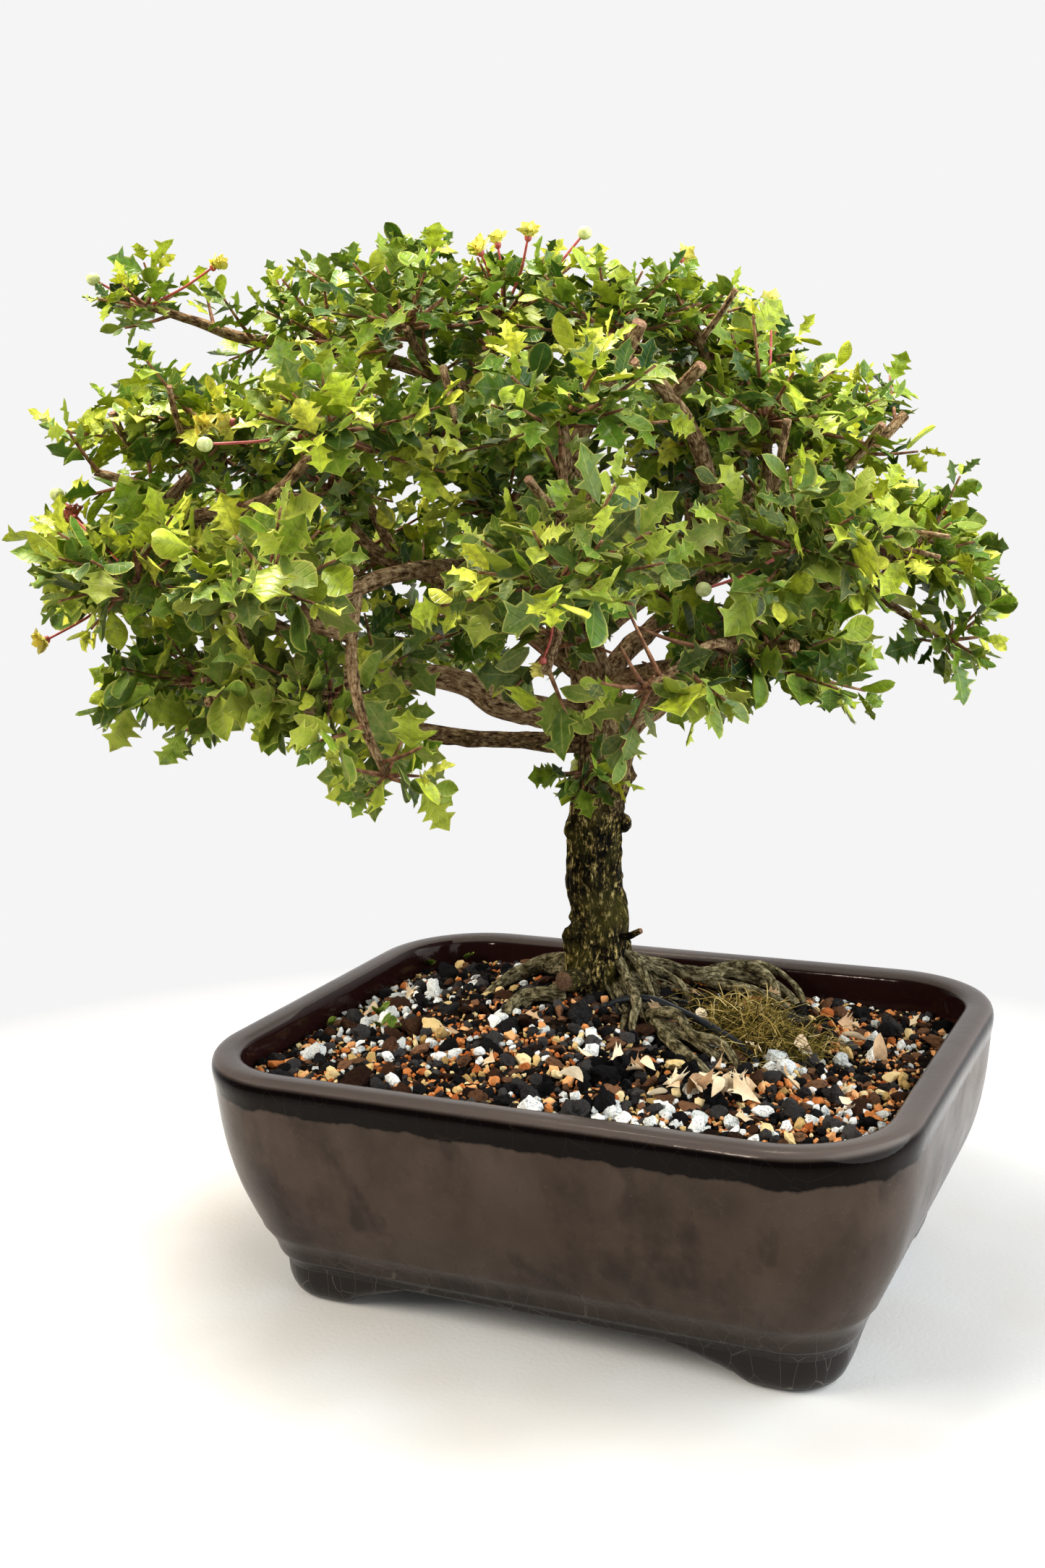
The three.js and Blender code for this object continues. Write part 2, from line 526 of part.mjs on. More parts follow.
const WIRE_RADIUS = 1.15;
const TIE_WIRE = [[4, -22, 58], [6, -22, 69], [18, -27, 73.6], [28, -38, 71.5], [36, -50, 69], [43, -63, 66],
  [50, -71, 57]].map((point) => [...point, WIRE_RADIUS]);

const MOSS = { u: 55, v: -42, along: 23, across: 11, height: 4.2, turn: -1.15 };

// A low mat of moss, its foot following the soil
function mossMat() {
  const random = seeded(5);
  const ring = (share, lift) => Array.from({ length: 11 }, (_, i) => {
    const angle = (2 * Math.PI * i) / 11;
    const ragged = share * (1 + spread(random, 0.1));
    const flat = new THREE.Vector2(ragged * MOSS.along * Math.cos(angle), ragged * MOSS.across * Math.sin(angle));
    flat.rotateAround(new THREE.Vector2(), MOSS.turn);
    const [u, v] = [flat.x + MOSS.u, flat.y + MOSS.v];
    return new THREE.Vector3(u, v, soilUnder(u, v) + lift + spread(random, 0.5));
  });
  const { height } = MOSS;
  const crown = [ring(0.85, height * 0.6), ring(0.5, height * 0.9), ring(0.12, height)];
  return solidOf(loft([ring(0.95, -3), ring(1, 0.4), ...crown]));
}

// Dry fallen leaves caught together in front of the roots, as [u, v, heading, lift of the tip, length]
const FALLEN = [[30, -86, -2.4, 0.25, 16], [31, -87, -0.6, 0.35, 15], [33, -85, 0.7, 0.2, 14],
  [29, -84, 2.6, 0.3, 15], [32, -88, -1.5, 0.12, 17]];

function fallenLeaves() {
  const heart = [31, -86];
  const hub = new THREE.OctahedronGeometry(2.6).scale(1.2, 1.2, 0.8);
  const parts = [solidOf(hub.translate(...heart, soilUnder(...heart) + 1.6))];
  for (const [u, v, heading, lift, length] of FALLEN) {
    const way = new THREE.Vector3(Math.cos(heading), Math.sin(heading), lift);
    const root = new THREE.Vector3(u, v, soilUnder(u, v) + 1.4);
    parts.push(solidOf(leaf(length).applyMatrix4(leafPlace(root, way, heading * 0.3))));
  }
  return Manifold.union(parts);
}

// Assembly

const GLAZE = { color: 0x3a2c26, roughness: 0.22, metalness: 0 };
const SOIL_MIX = { color: 0x5b4638, roughness: 0.95, metalness: 0 };
const BARK = { color: 0x6a5a3e, roughness: 0.9, metalness: 0 };
const BUD_YELLOW = { color: 0xb9b94a, roughness: 0.6, metalness: 0 };
const MOSS_GREEN = { color: 0x6a6b2a, roughness: 0.95, metalness: 0 };
const DRY_LEAF = { color: 0xb59468, roughness: 0.8, metalness: 0 };
const BLACK_PLASTIC = { color: 0x16191b, roughness: 0.5, metalness: 0 };
const leafGreen = (n) => ({
  color: new THREE.Color().setHSL(0.27 + 0.03 * Math.sin(n * 2.1), 0.5, 0.26 + 0.04 * Math.cos(n * 1.7)),
  roughness: 0.45,
  metalness: 0,
});

const plant = new THREE.Group();

function add(name, solid, material) {
  const mesh = new THREE.Mesh(geometryOf(solid), new THREE.MeshStandardMaterial(material));
  mesh.name = name;
  plant.add(mesh);
}

const sites = spraySites();
const limbs = growInto(sites);
const treeWood = toPot(wood(limbs));
const treeWoodRoom = wood(limbs, SEAT_GAP);
const { leafy, buds } = sprays(sites, treeWoodRoom);
const wire = toPot(limb(TIE_WIRE, 6, 9));
const wireRoom = toPot(limb(TIE_WIRE, 6, 9, SEAT_GAP));
const soilBody = soil([toPot(treeWoodRoom), wireRoom, screenRoom(-DRAIN_X), screenRoom(DRAIN_X)]);
const soilRoom = [[0, 0, 1], [1, 0, 0], [-1, 0, 0], [0, 1, 0], [0, -1, 0]].map((way) =>
  soilBody.translate(way.map((step) => step * SEAT_GAP)));
const roomOnSoil = [...soilRoom, toPot(treeWoodRoom), wireRoom];
const cutToSeat = (solid) => biggestBody(Manifold.difference([toPot(solid), ...roomOnSoil]));

add("pot", pot(), GLAZE);
add("drain_screen_left", drainScreen(-DRAIN_X), BLACK_PLASTIC);
add("drain_screen_right", drainScreen(DRAIN_X), BLACK_PLASTIC);
add("soil", soilBody, SOIL_MIX);
add("tree_wood", treeWood, BARK);
add("tie_wire", wire, BLACK_PLASTIC);
add("moss_mat", cutToSeat(mossMat()), MOSS_GREEN);
add("fallen_leaves", cutToSeat(fallenLeaves()), DRY_LEAF);
leafy.forEach((solid, n) => add(`spray_${String(n + 1).padStart(2, "0")}`, toPot(solid), leafGreen(n)));
buds.forEach((solid, n) => add(`bud_${n + 1}`, toPot(solid), BUD_YELLOW));

// The origin is the middle of the whole plant's footprint, on the table
const whole = new THREE.Box3().setFromObject(plant);
const footprint = whole.getCenter(new THREE.Vector3());
plant.position.set(-footprint.x, -footprint.y, 0);

const part = new THREE.Group();
part.add(plant);

export default part;
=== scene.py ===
"""A dwarf holly bonsai in a glazed rectangular pot: the looks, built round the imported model.

Lengths are in millimetres until a mesh is made. The pot's frame has its origin in the middle of the pot, on
the table. The tree has a frame of its own at the trunk's foot, turned from the pot's: u right, v back, z up.
"""

import math

import bpy
import numpy as np
from mathutils import Matrix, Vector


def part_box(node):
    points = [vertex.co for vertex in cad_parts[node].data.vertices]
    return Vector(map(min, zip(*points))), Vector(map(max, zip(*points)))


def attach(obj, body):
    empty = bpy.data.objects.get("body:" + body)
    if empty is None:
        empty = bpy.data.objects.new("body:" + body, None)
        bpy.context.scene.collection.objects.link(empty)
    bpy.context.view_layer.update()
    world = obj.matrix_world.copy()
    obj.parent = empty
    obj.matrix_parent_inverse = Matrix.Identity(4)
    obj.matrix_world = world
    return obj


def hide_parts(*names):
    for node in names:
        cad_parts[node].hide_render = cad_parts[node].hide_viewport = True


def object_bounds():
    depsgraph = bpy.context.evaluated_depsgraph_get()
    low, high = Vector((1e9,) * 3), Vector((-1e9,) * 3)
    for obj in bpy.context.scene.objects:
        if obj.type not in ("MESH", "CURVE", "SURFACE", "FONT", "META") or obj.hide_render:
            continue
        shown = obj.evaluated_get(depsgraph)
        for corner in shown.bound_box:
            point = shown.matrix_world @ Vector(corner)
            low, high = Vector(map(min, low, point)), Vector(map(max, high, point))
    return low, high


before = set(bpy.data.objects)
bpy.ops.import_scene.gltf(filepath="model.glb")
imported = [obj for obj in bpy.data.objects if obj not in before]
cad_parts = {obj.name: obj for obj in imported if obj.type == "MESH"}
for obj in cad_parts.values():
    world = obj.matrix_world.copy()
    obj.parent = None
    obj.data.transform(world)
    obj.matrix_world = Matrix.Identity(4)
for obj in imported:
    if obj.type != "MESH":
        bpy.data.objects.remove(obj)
CAD_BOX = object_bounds()

# Driving dimensions of the pot
HALF_LENGTH = 105.0
HALF_WIDTH = 81.5
HEIGHT = 75.5
CORNER_RADIUS = 35.0
SHARPEST_CORNER = 6.0
UNDERSIDE = 9.5
FLOOR = 18.0
FOOT_GAP = {"x": 61.0, "y": 39.0}
FOOT_REACH = 23
FOOT_TOP = 10.4
DRAIN_RADIUS = 7.5
DRAIN_X = 42.0

# Driving dimensions of the soil and the tree
SEAT_GAP = 0.3
SOIL_EDGE = 66.0
SOIL_TILT = 0.025
MOUND = {"height": 8.0, "spread": 55.0}
TRUNK_FOOT = np.array([-24.4, 38.6])
TREE_TURN = math.radians(25.4)
TREE_RISE = 3.5
STEM = {"root": 2.2, "tip": 1.3}
LONGEST_RUN = 44.0
SHARPEST_TURN = math.radians(55)
STEM_SAG = 0.12
TRUNK_VOXEL = 0.7
LEAF_SIZE = {"low": 11.8, "high": 9.2}
LEAF_STALK = 0.1
LEAF_PAIR_SPACING = 4.3
SIDE_TWIG_SPACING = 8.5
LOWEST_SIDE_TWIG = 158.0
TWIGS_IN_A_SPRAY = 15
TWIG_RADIUS = 0.75
SMALL_SPRAY_CORE = 10
LEAF_EDGE = 75
ALWAYS_BRIGHT = 9.0
PAST_THE_BOX = 1.5

UP = np.array([0.0, 0.0, 1.0])


# Frames

def pot_middle():
    """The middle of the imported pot's plan, in mm, where the pot's frame has its origin."""
    low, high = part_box("pot")
    return np.array([(low[0] + high[0]) / 2, (low[1] + high[1]) / 2, 0.0]) * 1000


POT_MIDDLE = pot_middle()
LIMITS = (np.array(CAD_BOX[0]) * 1000 - PAST_THE_BOX, np.array(CAD_BOX[1]) * 1000 + PAST_THE_BOX)


def tree_to_pot(points):
    """Moves points of the tree's frame into the pot's."""
    p = np.asarray(points, float)
    c, s = math.cos(TREE_TURN), math.sin(TREE_TURN)
    x = c * p[..., 0] - s * p[..., 1] + TRUNK_FOOT[0]
    y = s * p[..., 0] + c * p[..., 1] + TRUNK_FOOT[1]
    return np.stack([x, y, p[..., 2] + TREE_RISE], -1)


def unit(v):
    """Vectors of length one."""
    v = np.asarray(v, float)
    return v / np.maximum(np.linalg.norm(v, axis=-1, keepdims=True), 1e-9)


def smooth(x, low, high):
    """From 0 at low to 1 at high, level at both."""
    t = np.clip((x - low) / (high - low), 0, 1)
    return t * t * (3 - 2 * t)


def circle(count):
    """Even angles round a circle."""
    return 2 * math.pi * np.arange(count) / count


def golden(k):
    """The angle of step k, where each step turns by the golden angle and no two fall in line."""
    return k * math.pi * (3 - 5 ** 0.5)


def turned(angle, a, b):
    """A direction at an angle between two that are square to each other."""
    return math.cos(angle) * a + math.sin(angle) * b


def length_of(points):
    """Length of a line of points, whose first three columns are the place."""
    return np.linalg.norm(np.diff(np.asarray(points, float)[:, :3], axis=0), axis=1).sum()


def distances_along(line):
    """How far along a line each of its points is."""
    return np.concatenate([[0], np.cumsum(np.linalg.norm(np.diff(line[:, :3], axis=0), axis=1))])


# Random numbers and noise

def seeded(seed):
    """Numbers from 0 to 1, the same ones that the model's source draws."""
    state = seed

    def draw():
        nonlocal state
        state = (state + 0x6D2B79F5) & 0xFFFFFFFF
        t = ((state ^ (state >> 15)) * (1 | state)) & 0xFFFFFFFF
        t = ((t + (((t ^ (t >> 7)) * (61 | t)) & 0xFFFFFFFF)) & 0xFFFFFFFF) ^ t
        return ((t ^ (t >> 14)) & 0xFFFFFFFF) / 4294967296
    return draw


def lattice(cell, seed):
    """A random number from -1 to 1 for each whole-numbered cell."""
    c = cell.astype(np.int64).astype(np.uint32)
    h = c[..., 0] * np.uint32(374761393) + c[..., 1] * np.uint32(668265263)
    h = h + c[..., 2] * np.uint32(2246822519) + np.uint32(seed * 97 + 13)
    h = (h ^ (h >> np.uint32(13))) * np.uint32(1274126177)
    h = (h ^ (h >> np.uint32(15))) * np.uint32(2654435761)
    return (h ^ (h >> np.uint32(16))).astype(float) / 2147483648.0 - 1.0


def noise(points, size, seed=0):
    """Smooth noise from -1 to 1 with features of about that size."""
    p = np.asarray(points, float) / size
    low = np.floor(p)
    f = p - low
    f = f * f * (3 - 2 * f)
    total = 0.0
    for corner in range(8):
        step = np.array([corner & 1, (corner >> 1) & 1, (corner >> 2) & 1])
        weight = np.prod(np.where(step == 1, f, 1 - f), axis=-1)
        total = total + weight * lattice(low + step, seed)
    return total


def rough(points, size, seed=0, octaves=3):
    """Noise with finer noise on it."""
    return sum(noise(points, size / 2 ** k, seed + k) / 2 ** k for k in range(octaves))


# Meshes

def linked(name, data):
    """A new object in the scene."""
    obj = bpy.data.objects.new(name, data)
    bpy.context.scene.collection.objects.link(obj)
    return obj


def raw_object(name, points, faces):
    """An object with a plain mesh from points and arrays of faces."""
    mesh = bpy.data.meshes.new(name)
    corners = [tuple(int(i) for i in face) for group in faces for face in group]
    mesh.from_pydata([tuple(p) for p in points], [], corners)
    return linked(name, mesh)


def after_modifiers(obj):
    """The mesh that an object's modifiers make of it."""
    return obj.evaluated_get(bpy.context.evaluated_depsgraph_get()).to_mesh()


def piece(name, points, faces, material, attributes=None, replaces=(), sharp=None, choice=None):
    """One object from points in the pot's frame, in mm, and arrays of triangles or quads.

    attributes holds numbers or vectors for each point, and choice the number of each face's material, where
    there is a list of them. Edges bent by more degrees than sharp stay sharp.
    """
    vertices = (np.asarray(points, float) + POT_MIDDLE) * 0.001
    faces = [np.asarray(f, np.int32) for f in faces if len(f)]
    mesh = bpy.data.meshes.new(name)
    mesh.vertices.add(len(vertices))
    mesh.vertices.foreach_set("co", vertices.astype(np.float32).ravel())
    corners = np.concatenate([f.ravel() for f in faces])
    sizes = np.concatenate([np.full(len(f), f.shape[1], np.int32) for f in faces])
    mesh.loops.add(len(corners))
    mesh.loops.foreach_set("vertex_index", corners)
    mesh.polygons.add(len(sizes))
    mesh.polygons.foreach_set("loop_start", np.concatenate([[0], np.cumsum(sizes)[:-1]]).astype(np.int32))
    mesh.update(calc_edges=True)
    mesh.validate()
    mesh.polygons.foreach_set("use_smooth", np.ones(len(mesh.polygons), bool))
    for key, values in (attributes or {}).items():
        values = np.asarray(values, np.float32)
        if values.ndim == 2:
            mesh.attributes.new(key, "FLOAT_VECTOR", "POINT").data.foreach_set("vector", values.ravel())
        else:
            mesh.attributes.new(key, "FLOAT", "POINT").data.foreach_set("value", values)
    if sharp:
        mesh.set_sharp_from_angle(angle=math.radians(sharp))
    for m in material if isinstance(material, (list, tuple)) else [material]:
        mesh.materials.append(m)
    if choice is not None:
        mesh.polygons.foreach_set("material_index", np.asarray(choice, np.int32))
    obj = linked(name, mesh)
    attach(obj, "root")
    if replaces:
        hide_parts(*replaces)


class Heap:
    """Collects parts of one mesh, with a number or a vector for each vertex under each key."""

    def __init__(self, *keys):
        self.keys = keys
        self.points = []
        self.faces = []
        self.values = {k: [] for k in keys}
        self.count = 0

    def add(self, points, faces, **values):
        self.points.append(points)
        self.faces.extend(np.asarray(f) + self.count for f in faces if len(f))
        for k in self.keys:
            value = np.asarray(values[k], float)
            self.values[k].append(value if value.ndim else np.full(len(points), value))
        self.count += len(points)

    def arrays(self):
        by_size = {}
        for f in self.faces:
            by_size.setdefault(f.shape[1], []).append(f)
        faces = [np.concatenate(group) for _, group in sorted(by_size.items())]
        return np.concatenate(self.points), faces, {k: np.concatenate(v) for k, v in self.values.items()}


def leaf_heap():
    """A heap for leaves: a tone and a share of grey dust and painted sheen for each leaf, and for each point
    its place on the blade.
    """
    return Heap("tone", "dust", "edge", "along")


def tree_piece(name, heap, material, replaces=(), sharp=None):
    """One object from what a heap holds in the tree's frame."""
    points, faces, values = heap.arrays()
    piece(name, tree_to_pot(points), faces, material, values, replaces, sharp)


def rings_skin(rings):
    """Quads over rings of equal count, given as an array (rings, count, 3), and a fan on each end."""
    n, count = rings.shape[:2]
    i = np.arange(count)
    j = (i + 1) % count
    quads = []
    for r in range(n - 1):
        quads.append(np.stack([r * count + i, r * count + j, (r + 1) * count + j, (r + 1) * count + i], -1))
    first_middle = n * count
    last = first_middle - count
    fans = [np.stack([np.full(count, first_middle), j, i], -1),
            np.stack([np.full(count, first_middle + 1), last + i, last + j], -1)]
    points = np.concatenate([rings.reshape(-1, 3), [rings[0].mean(0), rings[-1].mean(0)]])
    return points, [np.concatenate(quads), np.concatenate(fans)]


# Curves and limbs

def curve(points, count):
    """Even steps along a centripetal Catmull-Rom curve."""
    p = np.asarray(points, float)
    n = len(p)
    out = []
    for t in np.linspace(0, 1, count):
        at = t * (n - 1)
        k = min(int(at), n - 2)
        w = at - k
        x1, x2 = p[k], p[k + 1]
        x0 = p[k - 1] if k > 0 else 2 * p[0] - p[1]
        x3 = p[k + 2] if k + 2 < n else 2 * p[-1] - p[-2]
        pairs = ((x1, x0), (x2, x1), (x3, x2))
        d0, d1, d2 = (max(np.linalg.norm(a[:3] - b[:3]) ** 0.5, 1e-4) for a, b in pairs)
        t1 = ((x1 - x0) / d0 - (x2 - x0) / (d0 + d1) + (x2 - x1) / d1) * d1
        t2 = ((x2 - x1) / d1 - (x3 - x1) / (d1 + d2) + (x3 - x2) / d2) * d1
        square, cube = -3 * x1 + 3 * x2 - 2 * t1 - t2, 2 * x1 - 2 * x2 + t1 + t2
        out.append(x1 + t1 * w + square * w ** 2 + cube * w ** 3)
    return np.array(out)


def carried_frames(line):
    """Tangents and two sideways directions along a line, turned as little as possible from step to step."""
    tangent = unit(np.gradient(line, axis=0))
    side = np.cross(tangent[0], [0.31, 0.17, 0.93])
    if np.linalg.norm(side) < 0.2:
        side = np.cross(tangent[0], [0.9, 0.1, 0.2])
    sides = []
    for t in tangent:
        side = unit(side - t * (side @ t))
        sides.append(side)
    sides = np.array(sides)
    return tangent, sides, np.cross(tangent, sides)


def tube_rings(line, radii, sides):
    """Rings round a line, and for each point of them the way out."""
    _, a, b = carried_frames(line)
    angle = circle(sides)
    out = np.cos(angle)[None, :, None] * a[:, None] + np.sin(angle)[None, :, None] * b[:, None]
    return line[:, None] + out * np.asarray(radii)[:, None, None], out


def tube(line, radii, sides):
    """A closed tube's points and faces."""
    return rings_skin(tube_rings(line, radii, sides)[0])


def limb_tube(points, step, sides, seed, knobs, cut):
    """A woody, slightly uneven tube along [u, v, z, radius] points.

    Gives its points and faces, and for each point its place in the grain and whether it is sawn.
    """
    line = curve(points, max(4, int(length_of(points) / step) + 1))
    radii = line[:, 3].copy()
    centre = line[:, :3]
    wander = np.stack([rough(centre + 50 * k, 16, seed + 7 * k, 2) for k in range(3)], -1)
    fade = np.minimum(1, np.arange(len(centre)) / 3)[:, None]
    centre = centre + wander * fade * np.minimum(0.9, 0.35 * radii)[:, None]
    if cut:
        last = centre[-1] + unit(centre[-1] - centre[-2]) * 0.35
        centre = np.concatenate([centre, last[None]])
        radii = np.append(radii, radii[-1] * 0.9)
    rings, out = tube_rings(centre, radii, sides)
    across = radii[:, None]
    angle = circle(sides)
    grain = np.stack([across * np.cos(angle), across * np.sin(angle),
                      np.broadcast_to(distances_along(centre)[:, None], rings.shape[:2])], -1) + seed * 37.0
    stretched = grain * np.array([1, 1, 0.22])
    swell = rough(grain, 6, seed, 2) * knobs + rough(stretched, 1.9, seed + 3, 2) * 0.07
    rings = rings + out * (swell * radii[:, None])[..., None]
    skin, faces = rings_skin(rings)
    ends = grain[[0, -1]].mean(1)
    ended = np.zeros(len(skin))
    if cut:
        ended[-1] = 1.0
        ended[-2 - sides:-2] = 1.0
    return skin, faces, np.concatenate([grain.reshape(-1, 3), ends]), ended


# Materials

def new_material(name, **constants):
    """A material with a Principled shader whose sockets are set as given."""
    material = bpy.data.materials.new(name)
    material.use_nodes = True
    shader = material.node_tree.nodes["Principled BSDF"]
    for key, value in constants.items():
        socket = shader.inputs[key.replace("_", " ")]
        socket.default_value = (*value, 1) if isinstance(value, tuple) else value
    return material, material.node_tree, shader


def node(tree, kind, **settings):
    """A new node of that kind, with its settings."""
    made = tree.nodes.new(kind)
    for key, value in settings.items():
        setattr(made, key, value)
    return made


def feed(tree, made, **sources):
    """Links an output to each input or sets its value; inputs are i0, i1 or names with _ for a space."""
    for key, value in sources.items():
        numbered = key[0] == "i" and key[1:].isdigit()
        socket = made.inputs[int(key[1:]) if numbered else key.replace("_", " ")]
        if isinstance(value, bpy.types.NodeSocket):
            tree.links.new(value, socket)
        else:
            socket.default_value = value
    return made


def vector_maths(tree, operation, a, b=(0, 0, 0)):
    """A sum on one or two vectors."""
    return feed(tree, node(tree, "ShaderNodeVectorMath", operation=operation), i0=a, i1=b)


def scaled(tree, vector, scale):
    """A vector whose parts are each multiplied by a number."""
    return vector_maths(tree, "MULTIPLY", vector, scale).outputs[0]


def position(tree, scale=(1, 1, 1)):
    """Object coordinates in millimetres, stretched."""
    where = node(tree, "ShaderNodeTexCoord").outputs["Object"]
    return scaled(tree, where, tuple(1000 * s for s in scale))


def height_share(tree, where, whole):
    """Height above the table as a share of a whole, in millimetres."""
    parts = feed(tree, node(tree, "ShaderNodeSeparateXYZ"), i0=where)
    return maths(tree, "DIVIDE", parts.outputs["Z"], whole)


def attribute(tree, name, vector=False):
    """A number or a vector that the mesh holds for each point."""
    found = node(tree, "ShaderNodeAttribute", attribute_name=name)
    return found.outputs["Vector"] if vector else found.outputs["Fac"]


def noise_node(tree, vector, size, detail=3.0, roughness=0.55):
    """Noise with features of about that size, in millimetres."""
    made = node(tree, "ShaderNodeTexNoise")
    feed(tree, made, Vector=vector, Scale=1 / size, Detail=detail, Roughness=roughness)
    return made.outputs["Fac"]


def ramp(tree, factor, *stops):
    """Colours or greys at places from 0 to 1."""
    made = node(tree, "ShaderNodeValToRGB")
    elements = made.color_ramp.elements
    while len(elements) < len(stops):
        elements.new(0.5)
    for element, (place, colour) in zip(elements, stops):
        element.position = place
        element.color = (*colour, 1) if isinstance(colour, tuple) else (colour, colour, colour, 1)
    return feed(tree, made, Fac=factor).outputs["Color"]


def blend(tree, factor, a, b, mode="MIX"):
    """Colour a with b laid over it by the factor."""
    made = node(tree, "ShaderNodeMix", data_type="RGBA", blend_type=mode)
    sources = {}
    for key, value in (("i6", a), ("i7", b)):
        sources[key] = (*value, 1) if isinstance(value, tuple) else value
    return feed(tree, made, i0=factor, **sources).outputs[2]


def maths(tree, operation, a, b=0.0):
    """The result of one sum on one or two numbers."""
    return feed(tree, node(tree, "ShaderNodeMath", operation=operation), i0=a, i1=b).outputs[0]


def plus(tree, a, b):
    return maths(tree, "ADD", a, b)


def minus(tree, a, b):
    return maths(tree, "SUBTRACT", a, b)


def times(tree, a, b):
    return maths(tree, "MULTIPLY", a, b)


def cells_node(tree, vector, scale, feature="F1"):
    """The distance from the middles of irregular cells, or from their edges."""
    made = node(tree, "ShaderNodeTexVoronoi", feature=feature)
    return feed(tree, made, Vector=vector, Scale=scale, Randomness=1.0).outputs["Distance"]


def bump(tree, height, strength, distance):
    """A normal that gives fine relief, its distance in metres."""
    made = node(tree, "ShaderNodeBump")
    return feed(tree, made, Height=height, Strength=strength, Distance=distance).outputs[0]


def glaze():
    """Dark brown glaze: a near-black band under the lip, a painted sheen on the rim's top, a mottled body,
    darker feet, fine crazing.
    """
    material, tree, shader = new_material("glaze", Specular_Tint=(1.0, 0.86, 0.76))
    where = position(tree)
    share = height_share(tree, where, 100)
    wavy = noise_node(tree, position(tree, (1, 1, 0.4)), 9, 3)
    ragged = plus(tree, share, times(tree, minus(tree, wavy, 0.5), 0.045))
    band = times(tree, ramp(tree, ragged, (0.658, 0.0), (0.664, 1.0)),
                 ramp(tree, share, (0.731, 1.0), (0.742, 0.0)))
    mottle = noise_node(tree, position(tree, (1, 1, 0.75)), 26, 4, 0.6)
    cloud = noise_node(tree, where, 55, 2)
    body = ramp(tree, mottle, (0.34, (0.013, 0.0070, 0.005)), (0.5, (0.037, 0.0232, 0.0173)),
                (0.66, (0.052, 0.0345, 0.0268)))
    body = blend(tree, ramp(tree, cloud, (0.35, 0.0), (0.65, 0.5)), body, (0.029, 0.020, 0.012))
    smoke = noise_node(tree, position(tree, (1, 1, 0.6)), 15, 3, 0.6)
    body = blend(tree, ramp(tree, smoke, (0.54, 0.0), (0.66, 0.65)), body, (0.009, 0.0055, 0.004))
    speckle = noise_node(tree, where, 0.9, 2, 0.7)
    body = blend(tree, ramp(tree, speckle, (0.64, 0.0), (0.74, 0.3)), body, (0.11, 0.085, 0.068))
    # Darker towards the bottom, over the plinth and the feet.
    foot = ramp(tree, share, (0.11, 1.0), (0.24, 0.0))
    colour = blend(tree, foot, body, (0.0115, 0.0095, 0.0090))
    # The rim's flat top is painted a lighter brown-grey: a painted sheen that stands in for the satin light
    # it catches.
    lip_top_sheen = ramp(tree, share, (0.731, 0.0), (0.742, 1.0))
    colour = blend(tree, lip_top_sheen, colour, (0.066, 0.051, 0.044))
    colour = blend(tree, band, colour, (0.0022, 0.0014, 0.0013))
    inner = ramp(tree, attribute(tree, "inner"), (0.4, 0.0), (0.6, 1.0))
    colour = blend(tree, inner, colour, (0.011, 0.0035, 0.003))
    cracks = cells_node(tree, position(tree, (1, 1, 0.45)), 0.16, "DISTANCE_TO_EDGE")
    craze = ramp(tree, cracks, (0.0, 1.0), (0.01, 0.0))
    low = ramp(tree, share, (0.1, 0.5), (0.28, 0.04))
    colour = blend(tree, times(tree, craze, low), colour, (0.15, 0.125, 0.105))
    shine = blend(tree, band, (0.16, 0.16, 0.16), (0.07, 0.07, 0.07))
    feed(tree, shader, Base_Color=colour, Specular_IOR_Level=shine)
    satin = ramp(tree, noise_node(tree, where, 18, 3), (0.3, 0.2), (0.7, 0.32))
    feed(tree, shader, Roughness=blend(tree, band, satin, (0.08, 0.08, 0.08)))
    dimple = plus(tree, noise_node(tree, where, 7, 3), times(tree, speckle, 0.12))
    feed(tree, shader, Normal=bump(tree, dimple, 0.22, 0.0005))
    return material


